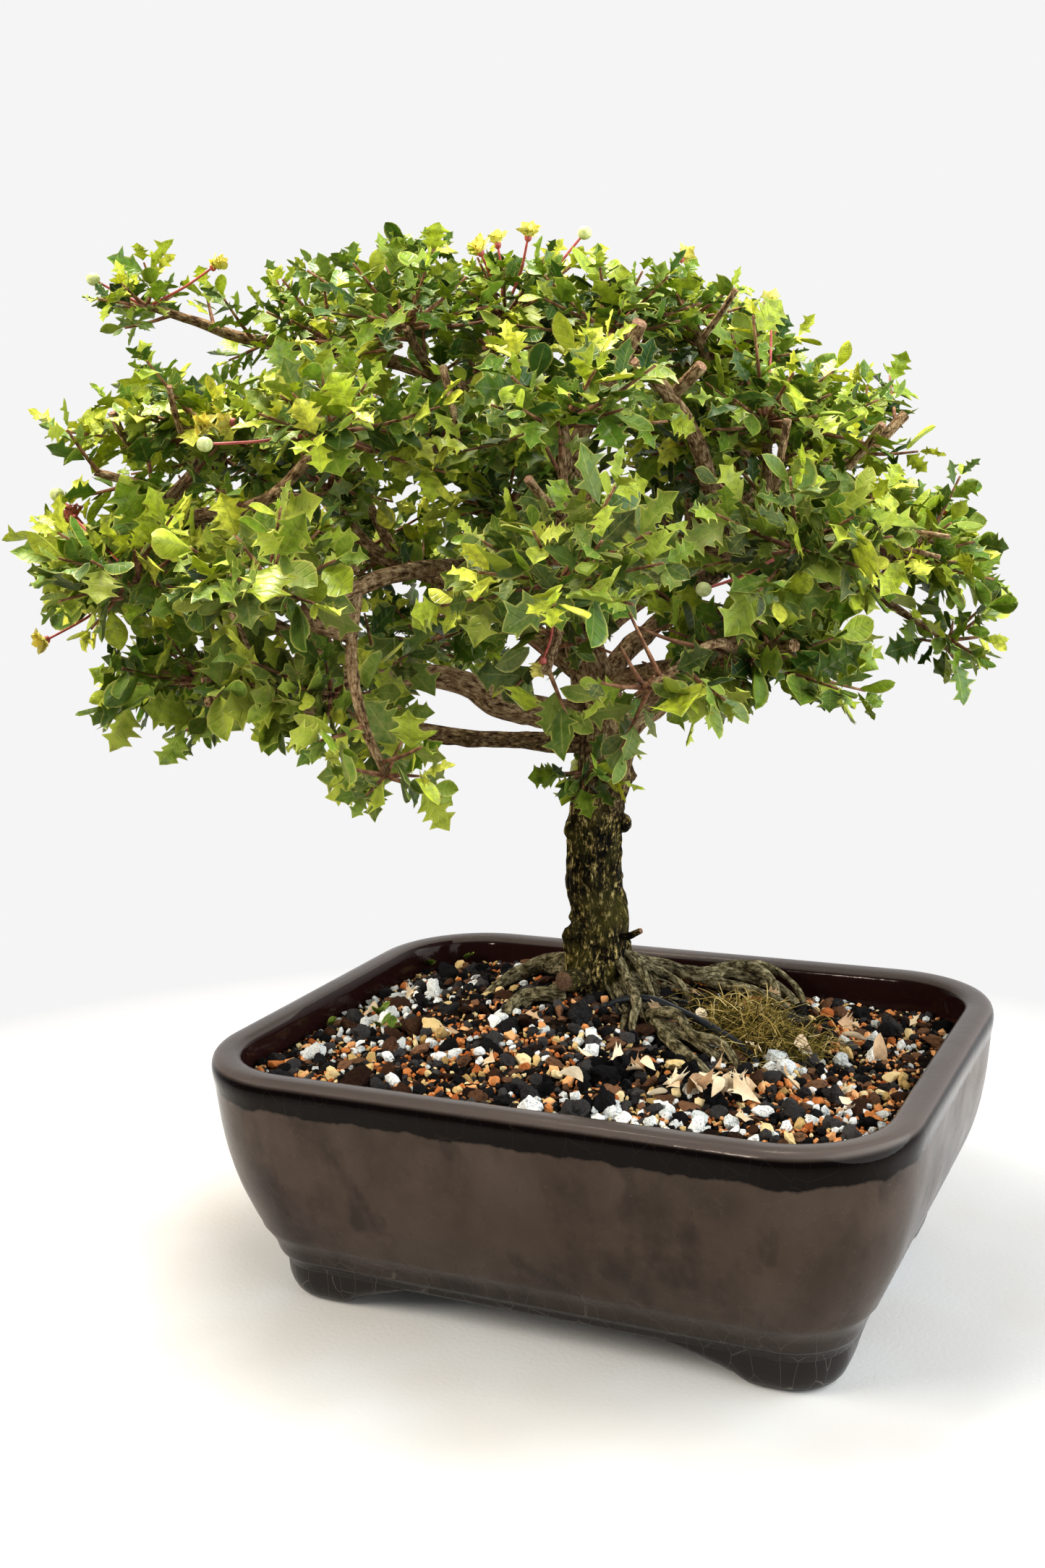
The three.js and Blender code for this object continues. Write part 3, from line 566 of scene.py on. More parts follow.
def bark():
    """Grey-brown bark with furrows along the grain, olive with algae low down, tan higher up."""
    material, tree, shader = new_material("bark", Roughness=0.9, Specular_IOR_Level=0.08)
    grain = attribute(tree, "grain", vector=True)
    stretched = scaled(tree, grain, (1, 1, 0.38))
    furrow = noise_node(tree, stretched, 1.0, 5, 0.72)
    plates = cells_node(tree, stretched, 0.55, "DISTANCE_TO_EDGE")
    seam = ramp(tree, plates, (0.0, 1.0), (0.13, 0.0))
    flake = noise_node(tree, grain, 2.6, 5, 0.65)
    where = position(tree)
    patch = noise_node(tree, where, 12, 4)
    share = height_share(tree, where, 400)
    # Ridges are pale tan and furrows and plate seams near black: partly the bark's own colour, partly
    # painted shade in the hollows and painted highlight on the ridges.
    furrow_tone_and_shade = plus(tree, times(tree, furrow, 0.62), times(tree, flake, 0.40))
    furrow_tone_and_shade = minus(tree, furrow_tone_and_shade, times(tree, seam, 0.045))
    dark = ramp(tree, furrow_tone_and_shade, (0.45, (0.001, 0.0007, 0.0003)), (0.505, (0.016, 0.011, 0.0035)),
                (0.555, (0.165, 0.116, 0.030)), (0.615, (0.680, 0.530, 0.210)))
    tan = ramp(tree, furrow_tone_and_shade, (0.40, (0.060, 0.028, 0.012)), (0.49, (0.340, 0.195, 0.090)),
               (0.6, (0.640, 0.450, 0.250)))
    high = ramp(tree, share, (0.32, 0.0), (0.42, 0.9))
    colour = blend(tree, high, dark, tan)
    algae = times(tree, ramp(tree, patch, (0.45, 0.0), (0.62, 0.55)),
                  ramp(tree, share, (0.2, 1.0), (0.45, 0.1)))
    colour = blend(tree, algae, colour, (0.105, 0.090, 0.014))
    stain = times(tree, ramp(tree, noise_node(tree, where, 7, 4, 0.6), (0.47, 0.0), (0.6, 0.8)),
                  ramp(tree, share, (0.19, 0.9), (0.3, 0.15)))
    colour = blend(tree, stain, colour, (0.012, 0.008, 0.004))
    root = ramp(tree, furrow_tone_and_shade, (0.42, (0.030, 0.021, 0.009)), (0.5, (0.185, 0.150, 0.072)),
                (0.6, (0.460, 0.390, 0.230)))
    colour = blend(tree, times(tree, attribute(tree, "root"), 0.85), colour, root)
    sawn = attribute(tree, "sawn")
    fresh = ramp(tree, noise_node(tree, where, 0.8, 3),
                 (0.35, (0.28, 0.14, 0.075)), (0.65, (0.52, 0.31, 0.19)))
    fresh = blend(tree, ramp(tree, share, (0.2, 0.8), (0.24, 0.0)), fresh, (0.075, 0.040, 0.022))
    colour = blend(tree, sawn, colour, fresh)
    feed(tree, shader, Base_Color=colour)
    relief = plus(tree, furrow, times(tree, flake, 0.9))
    relief = minus(tree, relief, times(tree, seam, 0.25))
    feed(tree, shader, Normal=bump(tree, relief, 1.0, 0.0022))
    return material


def twig_bark():
    """Thin red-brown twigs with paler patches."""
    material, tree, shader = new_material("twig_bark", Roughness=0.75, Specular_IOR_Level=0.15)
    where = position(tree)
    colour = ramp(tree, noise_node(tree, where, 2.5, 3), (0.3, (0.055, 0.022, 0.010)),
                  (0.5, (0.170, 0.072, 0.034)), (0.72, (0.330, 0.180, 0.090)))
    feed(tree, shader, Base_Color=colour, Normal=bump(tree, noise_node(tree, where, 0.6, 2), 0.5, 0.0003))
    return material


def leaf_green():
    """Glossy green blades: a tone for each leaf, pale margin and rib, grey patches of dust and painted
    sheen, bluer patches partly of painted sheen, side veins.
    """
    material, tree, shader = new_material("leaf_green", Specular_IOR_Level=0.25)
    tone = attribute(tree, "tone")
    edge = attribute(tree, "edge")
    along = attribute(tree, "along")
    dust = attribute(tree, "dust")
    where = position(tree)
    fine = noise_node(tree, where, 2.2, 4, 0.6)
    colour = ramp(tree, tone, (0.0, (0.007, 0.026, 0.004)), (0.25, (0.034, 0.092, 0.007)),
                  (0.5, (0.128, 0.235, 0.012)), (0.7, (0.290, 0.410, 0.020)),
                  (0.85, (0.540, 0.620, 0.040)), (1.0, (0.880, 0.860, 0.100)))
    # Patches of bluer green on the darker leaves: partly tone that differs at random, partly a painted
    # bluish sheen.
    cool_tint_and_sheen = ramp(tree, noise_node(tree, where, 32, 2), (0.5, 0.0), (0.64, 0.32))
    colour = blend(tree, times(tree, cool_tint_and_sheen, ramp(tree, tone, (0.6, 1.0), (0.8, 0.0))), colour,
                   (0.060, 0.150, 0.050))
    colour = blend(tree, ramp(tree, fine, (0.36, 0.5), (0.58, 0.0)), colour, (0.024, 0.050, 0.008))
    # Grey laid over the low front leaves: partly dust, partly a painted sheen.
    grey = times(tree, dust, ramp(tree, fine, (0.38, 0.2), (0.62, 0.95)))
    colour = blend(tree, grey, colour, (0.195, 0.185, 0.046))
    rim = ramp(tree, edge, (0.80, 0.0), (0.99, 0.65))
    colour = blend(tree, rim, colour, (0.560, 0.510, 0.110))
    rib = ramp(tree, edge, (0.02, 0.5), (0.08, 0.0))
    colour = blend(tree, rib, colour, (0.310, 0.325, 0.070))
    feed(tree, shader, Base_Color=colour)
    dull = plus(tree, times(tree, dust, 0.5), fine)
    feed(tree, shader, Roughness=ramp(tree, dull, (0.3, 0.26), (0.95, 0.6)))
    slant = minus(tree, times(tree, along, 5.5), times(tree, edge, 1.1))
    vein = maths(tree, "ABSOLUTE", minus(tree, maths(tree, "FRACT", slant), 0.5))
    relief = plus(tree, ramp(tree, vein, (0.0, 0.0), (0.14, 1.0)), times(tree, fine, 0.8))
    feed(tree, shader, Normal=bump(tree, relief, 0.4, 0.0003))
    through = node(tree, "ShaderNodeBsdfTranslucent")
    feed(tree, through, Color=blend(tree, 1.0, colour, (1.0, 1.0, 0.3), "MULTIPLY"))
    mixed = node(tree, "ShaderNodeMixShader")
    feed(tree, mixed, i0=0.22, i1=shader.outputs[0], i2=through.outputs[0])
    feed(tree, tree.nodes["Material Output"], Surface=mixed.outputs[0])
    return material


def stone(name, stops, size, roughness, relief, pits=0.0):
    """Rough grains: a colour for each grain from its tone, broken up by noise, with pits."""
    material, tree, shader = new_material(name, Roughness=roughness, Specular_IOR_Level=0.06)
    where = position(tree)
    tone = attribute(tree, "tone")
    fine = noise_node(tree, where, size, 4, 0.65)
    mixed = plus(tree, times(tree, tone, 0.62), times(tree, fine, 0.38))
    colour = ramp(tree, mixed, *stops)
    height = fine
    if pits:
        pit = ramp(tree, cells_node(tree, where, 1.7), (0.05, 1.0), (0.36, 0.0))
        colour = blend(tree, times(tree, pit, pits), colour, (0.16, 0.15, 0.13))
        height = minus(tree, fine, pit)
    feed(tree, shader, Base_Color=colour, Normal=bump(tree, height, relief, 0.0009))
    return material


def plain(name, dark, pale, size, roughness, relief=0.5, specular=0.4):
    """A material whose colour wanders between two tones, with a fine relief."""
    material, tree, shader = new_material(name, Roughness=roughness, Specular_IOR_Level=specular)
    where = position(tree)
    fine = noise_node(tree, where, size, 4, 0.6)
    feed(tree, shader, Base_Color=ramp(tree, fine, (0.32, dark), (0.68, pale)),
         Normal=bump(tree, fine, relief, 0.0004))
    return material


GLAZE = glaze()
BARK = bark()
TWIG = twig_bark()
LEAF = leaf_green()
PUMICE = stone("pumice", [(0.2, (0.52, 0.53, 0.50)), (0.5, (0.78, 0.77, 0.72)), (0.8, (0.90, 0.88, 0.82))],
               1.1, 0.95, 0.8, 0.5)
AKADAMA = stone("akadama", [(0.2, (0.26, 0.060, 0.014)), (0.5, (0.62, 0.210, 0.055)),
                            (0.8, (0.84, 0.430, 0.180))], 1.2, 0.92, 0.7)
LAVA = stone("lava", [(0.2, (0.0015, 0.0015, 0.0015)), (0.5, (0.009, 0.008, 0.008)),
                      (0.85, (0.060, 0.054, 0.050))], 0.8, 0.85, 1.0)
GRIT = stone("grit", [(0.2, (0.32, 0.190, 0.060)), (0.5, (0.58, 0.390, 0.150)), (0.8, (0.76, 0.600, 0.320))],
             1.5, 0.85, 0.5)
CHIPS = stone("bark_chips", [(0.2, (0.007, 0.003, 0.002)), (0.5, (0.040, 0.017, 0.008)),
                             (0.85, (0.210, 0.100, 0.050))], 0.9, 0.88, 0.9)
# Near-black fine soil between the grains: partly its own dark colour, partly painted shade that falls
# between them.
SHADED_PEAT = plain("peat_painted_shade", (0.001, 0.0007, 0.0004), (0.012, 0.007, 0.004), 2.0, 0.95, 1.0, 0.03)
MOSS = plain("moss", (0.010, 0.008, 0.002), (0.120, 0.090, 0.016), 1.2, 0.95, 1.0, 0.05)
FIBRE = stone("root_fibre", [(0.2, (0.010, 0.007, 0.002)), (0.45, (0.100, 0.074, 0.012)),
                             (0.66, (0.300, 0.200, 0.045)), (0.88, (0.720, 0.560, 0.240))], 3.0, 0.8, 0.3)
DRY_LEAF = stone("dry_leaf", [(0.15, (0.190, 0.085, 0.040)), (0.45, (0.520, 0.340, 0.190)),
                              (0.8, (0.860, 0.710, 0.480))], 2.6, 0.7, 0.6)
BLACK_PLASTIC = plain("black_plastic", (0.005, 0.006, 0.008), (0.014, 0.016, 0.020), 1.5, 0.38, 0.4)
STALK_RED = plain("stalk_red", (0.270, 0.030, 0.030), (0.480, 0.100, 0.070), 1.5, 0.5, 0.3)
BUD = plain("bud_yellow", (0.330, 0.380, 0.110), (0.620, 0.640, 0.300), 1.3, 0.5, 0.5)
PETAL = plain("petal_yellow", (0.640, 0.520, 0.050), (0.880, 0.800, 0.230), 1.6, 0.6, 0.4)
DRIED_FLOWER = plain("dried_flower", (0.200, 0.030, 0.020), (0.480, 0.110, 0.060), 1.2, 0.7, 0.6)


# The pot, its outside and inside as (inset from the rim's outer edge, height)

OUTER_PROFILE = [
    (20, UNDERSIDE), (19.1, 9.9), (18.5, 10.8), (18.3, 12), (17.7, 12.9), (16.7, 13.5), (16.1, 14.6),
    (15.4, 17), (14.4, 18.9), (13, 21), (11.8, 22.6), (11.2, 24.4), (10, 26.7), (8.8, 29.5), (7.3, 33),
    (5.8, 37), (4.5, 41.4), (3.4, 46), (2.5, 51), (1.8, 56), (1.3, 61), (0.95, 64.5), (0.7, 66.6),
    (0.45, 68), (0.2, 69.3), (0.05, 70.4), (0, 71.6), (0.15, 72.9), (0.6, 74.1), (1.4, 75), (2.5, 75.4),
    (4, HEIGHT), (6, 75.4), (7.4, 75.1), (8.3, 74.4), (8.9, 73.2),
]
WALL_PROFILE = [(29, FLOOR), (26, 21), (23, 25), (18.6, 33.5), (15, 42), (13, 51), (11.4, 60), (10, 68),
                (9.2, 72)]


def plan_loop(inset, z, corner_steps=14, side_steps=10):
    """The pot's plan at an inset from the rim's outer edge."""
    r = max(SHARPEST_CORNER, CORNER_RADIUS - inset)
    x, y = HALF_LENGTH - inset - r, HALF_WIDTH - inset - r
    loop = []
    for corner, (cx, cy) in enumerate(((x, y), (-x, y), (-x, -y), (x, -y))):
        for i in range(corner_steps + 1):
            a = math.pi / 2 * (corner + i / corner_steps)
            loop.append((cx + r * math.cos(a), cy + r * math.sin(a), z))
        ahead = ((-x, y), (-x, -y), (x, -y), (x, y))[corner]
        a = math.pi / 2 * (corner + 1)
        start = np.array([cx + r * math.cos(a), cy + r * math.sin(a)])
        end = np.array([ahead[0] + r * math.cos(a), ahead[1] + r * math.sin(a)])
        for i in range(1, side_steps):
            p = start + (end - start) * i / side_steps
            loop.append((p[0], p[1], z))
    return np.array(loop)


def pot_body():
    """The pot without its feet, its wall a little uneven above the plinth."""
    rings = np.stack([plan_loop(inset, z) for inset, z in OUTER_PROFILE + WALL_PROFILE[::-1]])
    uneven = rough(rings, 60, 4, 2) * 0.25
    outward = unit(rings * np.array([1, 1, 0]))
    rings = rings + outward * (uneven * smooth(rings[..., 2], 20, 40))[..., None]
    return rings_skin(rings)


def foot_bottom(into_gap):
    """Height of a foot's underside, by how far into the gap between the feet it is."""
    return np.interp(into_gap, [-3, 0, 0.8, 3, 8, 14, 19, 23.5], [0, 0.2, 1.0, 2.3, 4.2, 6.0, 8.0, 10.3])


def foot(side_x, side_y):
    """A corner foot: a curved bar under the pot's corner, its ends drawn up like a cloud's edge."""
    r0 = CORNER_RADIUS
    cx, cy = HALF_LENGTH - r0, HALF_WIDTH - r0
    section = [(18.9, FOOT_TOP), (18.9, 8.5), (19.1, 6), (19.8, 3.8), (20.6, 2.1), (21.7, 0.8), (23.2, 0.12),
               (25, 0), (33, 0), (34, 0.3), (34.5, 1.2), (33.6, FOOT_TOP)]
    stations = [("x", s) for s in np.linspace(FOOT_GAP["x"] - FOOT_REACH, cx, 17)[:-1]]
    stations += [("corner", a) for a in np.linspace(math.pi / 2, 0, 15)]
    stations += [("y", s) for s in np.linspace(cy, FOOT_GAP["y"] - FOOT_REACH, 17)[1:]]
    rings = []
    for kind, s in stations:
        into = {"x": FOOT_GAP["x"] - s, "y": FOOT_GAP["y"] - s, "corner": -9}[kind]
        bottom = float(foot_bottom(into))
        ring = []
        for inset, z in section:
            r = r0 - inset
            bent = (cx + r * math.cos(s), cy + r * math.sin(s))
            x, y = {"x": (s, cy + r), "y": (cx + r, s), "corner": bent}[kind]
            ring.append((side_x * x, side_y * y, bottom + (FOOT_TOP - bottom) * z / FOOT_TOP))
        rings.append(ring)
    rings = np.array(rings)
    if side_x * side_y > 0:
        rings = rings[:, ::-1]
    return rings_skin(rings)


def drilled(points, faces):
    """Cuts the drain holes out of the pot's body, and gives the points and faces back."""
    body = raw_object("body", points, faces)
    drills = []
    round_hole = [(DRAIN_RADIUS * math.cos(a), DRAIN_RADIUS * math.sin(a)) for a in circle(32)]
    for middle in (-DRAIN_X, DRAIN_X):
        rings = np.array([[(middle + x, y, z) for x, y in round_hole]
                          for z in (UNDERSIDE - 4, UNDERSIDE + 1, FLOOR - 1, FLOOR + 4)])
        drills.append(raw_object("drain", *rings_skin(rings)))
    for drill in drills:
        cut = body.modifiers.new("cut", "BOOLEAN")
        cut.object = drill
        cut.operation = "DIFFERENCE"
        cut.solver = "EXACT"
    made = after_modifiers(body)
    made.calc_loop_triangles()
    p = np.array([tuple(v.co) for v in made.vertices])
    f = np.array([tuple(t.vertices) for t in made.loop_triangles])
    for obj in [body, *drills]:
        bpy.data.objects.remove(obj, do_unlink=True)
    return p, [f]


def build_pot():
    """The glazed pot with its drain holes and feet, the inside marked for the glaze."""
    heap = Heap("inner")
    points, faces = drilled(*pot_body())
    insets, heights = zip(*WALL_PROFILE)
    inset = inside(points[:, 0], points[:, 1], 0)
    inner = (points[:, 2] > FLOOR - 0.5) & (inset > np.interp(points[:, 2], heights, insets) - 0.8)
    heap.add(points, faces, inner=inner.astype(float))
    for side_x, side_y in ((-1, -1), (-1, 1), (1, -1), (1, 1)):
        heap.add(*foot(side_x, side_y), inner=0)
    points, faces, values = heap.arrays()
    piece("pot_glazed", points, faces, GLAZE, values, replaces=["pot"], sharp=50)


# The soil

def soil_height(x, y):
    """Height of the soil's mound at a place in the pot's frame."""
    away = np.hypot(x - TRUNK_FOOT[0], y - TRUNK_FOOT[1]) / MOUND["spread"]
    ripple = 0.7 * np.sin(x * 0.19 + 1.3) * np.cos(y * 0.23)
    return SOIL_EDGE - SOIL_TILT * y + MOUND["height"] * np.exp(-away * away) + ripple


def wall_inset(z):
    """Inset of the soil's side at a height, just clear of the wall."""
    insets, heights = zip(*WALL_PROFILE)
    return float(np.interp(z, heights, insets)) + 2 * SEAT_GAP


def inside(x, y, inset):
    """How far inside the pot's plan at that inset a point lies."""
    r = max(SHARPEST_CORNER, CORNER_RADIUS - inset)
    qx = np.abs(x) - (HALF_LENGTH - inset - r)
    qy = np.abs(y) - (HALF_WIDTH - inset - r)
    return -(np.hypot(np.maximum(qx, 0), np.maximum(qy, 0)) + np.minimum(np.maximum(qx, qy), 0) - r)


def soil_bed():
    """The fine soil that shows between the grains, its near-black colour partly the soil's own and partly
    painted shade between them.
    """
    rings = [plan_loop(wall_inset(z), z) for z in (FLOOR + SEAT_GAP, 25, 42, 60)]
    edge = plan_loop(wall_inset(SOIL_EDGE), 0)
    middle = np.array([*TRUNK_FOOT, 0])
    for inward in np.linspace(0, 0.985, 40):
        ring = edge + (middle - edge) * inward
        ring[:, 2] = soil_height(ring[:, 0], ring[:, 1]) - 0.8 + 1.5 * rough(ring, 5, 3, 3)
        rings.append(ring)
    points, faces = rings_skin(np.stack(rings))
    piece("soil_bed", points, faces, SHADED_PEAT, replaces=["soil"])


def ball(rounds):
    """An icosahedron's points and faces, split that many times, on the unit sphere."""
    g = (1 + 5 ** 0.5) / 2
    p = unit([(-1, g, 0), (1, g, 0), (-1, -g, 0), (1, -g, 0), (0, -1, g), (0, 1, g), (0, -1, -g), (0, 1, -g),
              (g, 0, -1), (g, 0, 1), (-g, 0, -1), (-g, 0, 1)])
    faces = [(0, 11, 5), (0, 5, 1), (0, 1, 7), (0, 7, 10), (0, 10, 11), (1, 5, 9), (5, 11, 4), (11, 10, 2),
             (10, 7, 6), (7, 1, 8), (3, 9, 4), (3, 4, 2), (3, 2, 6), (3, 6, 8), (3, 8, 9), (4, 9, 5),
             (2, 4, 11), (6, 2, 10), (8, 6, 7), (9, 8, 1)]
    points = [tuple(q) for q in p]
    for _ in range(rounds):
        middle = {}
        split = []

        def between(a, b):
            key = (min(a, b), max(a, b))
            if key not in middle:
                middle[key] = len(points)
                points.append(tuple(unit(np.add(points[a], points[b]))))
            return middle[key]
        for a, b, c in faces:
            ab, bc, ca = between(a, b), between(b, c), between(c, a)
            split += [(a, ab, ca), (b, bc, ab), (c, ca, bc), (ab, bc, ca)]
        faces = split
    return np.array(points), np.array(faces)


def turns(random, count):
    """Random rotation matrices."""
    q = unit(random.normal(size=(count, 4)))
    w, x, y, z = q.T
    return np.stack([np.stack([1 - 2 * (y * y + z * z), 2 * (x * y - z * w), 2 * (x * z + y * w)], -1),
                     np.stack([2 * (x * y + z * w), 1 - 2 * (x * x + z * z), 2 * (y * z - x * w)], -1),
                     np.stack([2 * (x * z - y * w), 2 * (y * z + x * w), 1 - 2 * (x * x + y * y)], -1)], -2)


# Each kind of grain: material, share of all, half size from and to, how flat, how angular, how far out
GRAINS = {
    "pumice": (PUMICE, 0.135, 1.7, 3.5, 0.80, 0.66, 0.45),
    "akadama": (AKADAMA, 0.18, 1.1, 2.7, 0.78, 0.70, 0.35),
    "lava": (LAVA, 0.34, 1.5, 4.3, 0.85, 0.50, 0.30),
    "grit": (GRIT, 0.095, 1.1, 3.2, 0.62, 0.72, 0.40),
    "bark_chips": (CHIPS, 0.26, 1.6, 5.2, 0.42, 0.66, 0.20),
}
GRAIN_COUNT = 4300
# The number after which only small grains are thrown
LARGE_GRAINS = 1300
GRAIN_TRIES = 90000
# How often a grain's ball is split, for half sizes above the first and up to the second
GRAIN_BALLS = ((2, 2.7, 9), (1, 1.45, 2.7), (0, 0, 1.45))
GRAIN_CELL = 9
GRAIN_SPACING = 0.70
THROWN_OVER = {"x": 94, "y": 71}
BARE_AROUND_TRUNK = 12.0


def rock(shape, random, count, angular):
    """Lumps cut from a ball by random planes, more or less sharp, with noise on their skin."""
    planes = unit(random.normal(size=(count, 8, 3)))
    depth = random.uniform(0.52, 1.0, (count, 8))
    facing = np.maximum(np.einsum("vj,npj->nvp", shape, planes), 0.08)
    cut = np.minimum((depth[:, None] / facing).min(2), 1.25)
    offset = random.uniform(-500, 500, (count, 1, 3))
    lumpy = rough(shape[None] * 1.6 + offset, 1.0, 21, 3)
    return shape[None] * (angular * cut + (1 - angular) * (1.05 + 0.45 * lumpy) + 0.16 * lumpy)[..., None]


def root_lines():
    """Points of the pot's frame along the roots that show, with their radii, which grains keep clear of."""
    lines = []
    for points in [*ROOTS, *FEEDER_ROOTS]:
        line = curve(points, 30)
        lines.append(np.column_stack([tree_to_pot(line[:, :3]), line[:, 3] * 0.85]))
    lines = np.concatenate(lines)
    return lines[lines[:, 2] + lines[:, 3] > soil_height(lines[:, 0], lines[:, 1]) + 0.5]


def from_trunk(x, y):
    """Distance in plan from the trunk's foot."""
    return math.hypot(x - TRUNK_FOOT[0], y - TRUNK_FOOT[1])


def place_grains(random):
    """Throws grains onto the soil, big ones first, and keeps those that find room.

    Gives a row for each grain: kind, x, y, half size, tone.
    """
    kinds = list(GRAINS)
    roots = root_lines()
    placed = []
    cells = {}
    for _ in range(GRAIN_TRIES):
        if len(placed) >= GRAIN_COUNT:
            break
        x = random.uniform(-THROWN_OVER["x"], THROWN_OVER["x"])
        y = random.uniform(-THROWN_OVER["y"], THROWN_OVER["y"])
        shares = np.array([GRAINS[k][1] for k in kinds])
        paleness = 0.45 if -45 < x < 25 and y > -45 else 1.25
        shares[0] *= max(0.15, 1 + 1.9 * float(noise([x, y, 0], 26, 61))) * paleness
        shares[1] *= max(0.25, 1 + 1.5 * float(noise([x, y, 40], 30, 62)) + 0.006 * x)
        kind = random.choice(len(kinds), p=shares / shares.sum())
        _, _, least, most, *_ = GRAINS[kinds[kind]]
        late = min(1, len(placed) / LARGE_GRAINS)
        size = least * (1 - 0.3 * late) + (most - least) * random.random() ** 1.3 * (1 - 0.88 * late)
        if inside(x, y, wall_inset(SOIL_EDGE)) < size * 0.95:
            continue
        if from_trunk(x, y) < BARE_AROUND_TRUNK:
            continue
        if (np.hypot(roots[:, 0] - x, roots[:, 1] - y) < roots[:, 3] + 0.35 * size).any():
            continue
        cell = (int(x // GRAIN_CELL), int(y // GRAIN_CELL))
        near = [grain for dx in (-1, 0, 1) for dy in (-1, 0, 1)
                for grain in cells.get((cell[0] + dx, cell[1] + dy), [])]
        if any(math.hypot(x - a, y - b) < GRAIN_SPACING * (size + other) for a, b, other in near):
            continue
        cells.setdefault(cell, []).append((x, y, size))
        placed.append((kind, x, y, size, random.random()))
    return np.array(placed)


def chip_turns(random, count):
    """Rotations that leave flat chips lying more or less flat."""
    heading = random.uniform(0, 2 * math.pi, count)
    tilt = random.normal(0, 0.4, (count, 2))
    return np.array([Matrix.Rotation(h, 3, "Z") @ Matrix.Rotation(a, 3, "X") @ Matrix.Rotation(b, 3, "Y")
                     for h, (a, b) in zip(heading, tilt)])


def scatter_grains():
    """The loose grains, a piece for each kind; the larger a grain, the finer its ball."""
    random = np.random.default_rng(8)
    placed = place_grains(random)
    for index, (name, (material, _, _, _, flat, angular, lift)) in enumerate(GRAINS.items()):
        chosen = placed[placed[:, 0] == index]
        heap = Heap("tone")
        for rounds, least, most in GRAIN_BALLS:
            group = chosen[(chosen[:, 3] > least) & (chosen[:, 3] <= most)]
            count = len(group)
            if not count:
                continue
            shape, triangles = ball(rounds)
            stretch = np.stack([random.uniform(0.85, 1.3, count), random.uniform(0.7, 1.05, count),
                                np.full(count, flat)], -1)
            body = rock(shape, random, count, angular) * stretch[:, None]
            spin = (chip_turns if name == "bark_chips" else turns)(random, count)
            body = np.einsum("nij,nvj->nvi", spin, body) * group[:, 3][:, None, None]
            z = soil_height(group[:, 1], group[:, 2]) + lift * group[:, 3] - 0.7
            body = body + np.stack([group[:, 1], group[:, 2], z], -1)[:, None]
            faces = (triangles[None] + (np.arange(count) * len(shape))[:, None, None]).reshape(-1, 3)
            heap.add(body.reshape(-1, 3), [faces], tone=np.repeat(group[:, 4], len(shape)))
        points, faces, values = heap.arrays()
        piece(f"soil_{name}", points, faces, material, values, sharp=30)


# The tree's wood, each limb as [u, v, z, radius] points

TRUNK = [
    [2, 0, 44, 8], [3, 0, 58, 11], [4, 0, 68, 11.6], [4.4, 0, 77, 10.4], [5.2, 0, 90, 9.4],
    [3.6, 0, 107, 8.9], [5, 0, 125, 8.9], [8, 0, 141, 8.5], [9, 0, 153, 8.7], [6, 0, 166, 7.4],
    [3, -2, 180, 6.2], [0, -3, 200, 5.2], [-2, 0, 225, 3.8], [-4, 4, 250, 2.8], [-2, 4, 266, 1.9],
]
ROOTS = [
    [[-2, 4, 74, 5], [-12, 14, 71, 3.8], [-22, 11, 69, 3], [-30, 3, 66.5, 2.6], [-36, -10, 59, 2]],
    [[-1, -5, 72, 4.4], [-12, -8, 68.5, 3], [-21, -15, 66.5, 2.4], [-25, -27, 58, 2]],
    [[10, 4, 73, 5], [22, 11, 70.5, 3.8], [36, 2, 69, 3.2], [49, 3, 68.5, 3], [59, 1, 66.5, 2.4],
     [66, -7, 64, 2], [70, -16, 56, 1.8]],
    [[38, 2, 68.6, 2.6], [52, -6, 66.4, 2.3], [62, -17, 64.5, 2], [68, -30, 56, 1.7]],
    [[10, -5, 71, 4.6], [15, -17, 67.4, 3.4], [20, -36, 66.4, 3], [25, -54, 64.4, 2.7], [31, -68, 62.2, 2.4],
     [38, -80, 55, 2]],
    [[17, -27, 66, 2.6], [27, -47, 65.6, 2.4], [35, -60, 63.8, 2.2], [43, -70, 56, 1.8]],
    [[9, -7, 71, 3], [12, -24, 67, 2.2], [10, -38, 64.8, 1.8], [7, -50, 57, 1.5]],
    [[10, 1, 79, 3], [16, 6, 75, 2.2], [21, -2, 71, 1.9], [24, -10, 64, 1.6]],
    [[3, 7, 72, 5], [2, 17, 66.5, 3.4], [0, 26, 58, 2.4]],
    [[-5, 6, 73, 4.4], [-18, 24, 66.5, 3], [-27, 36, 57, 2.2]],
]
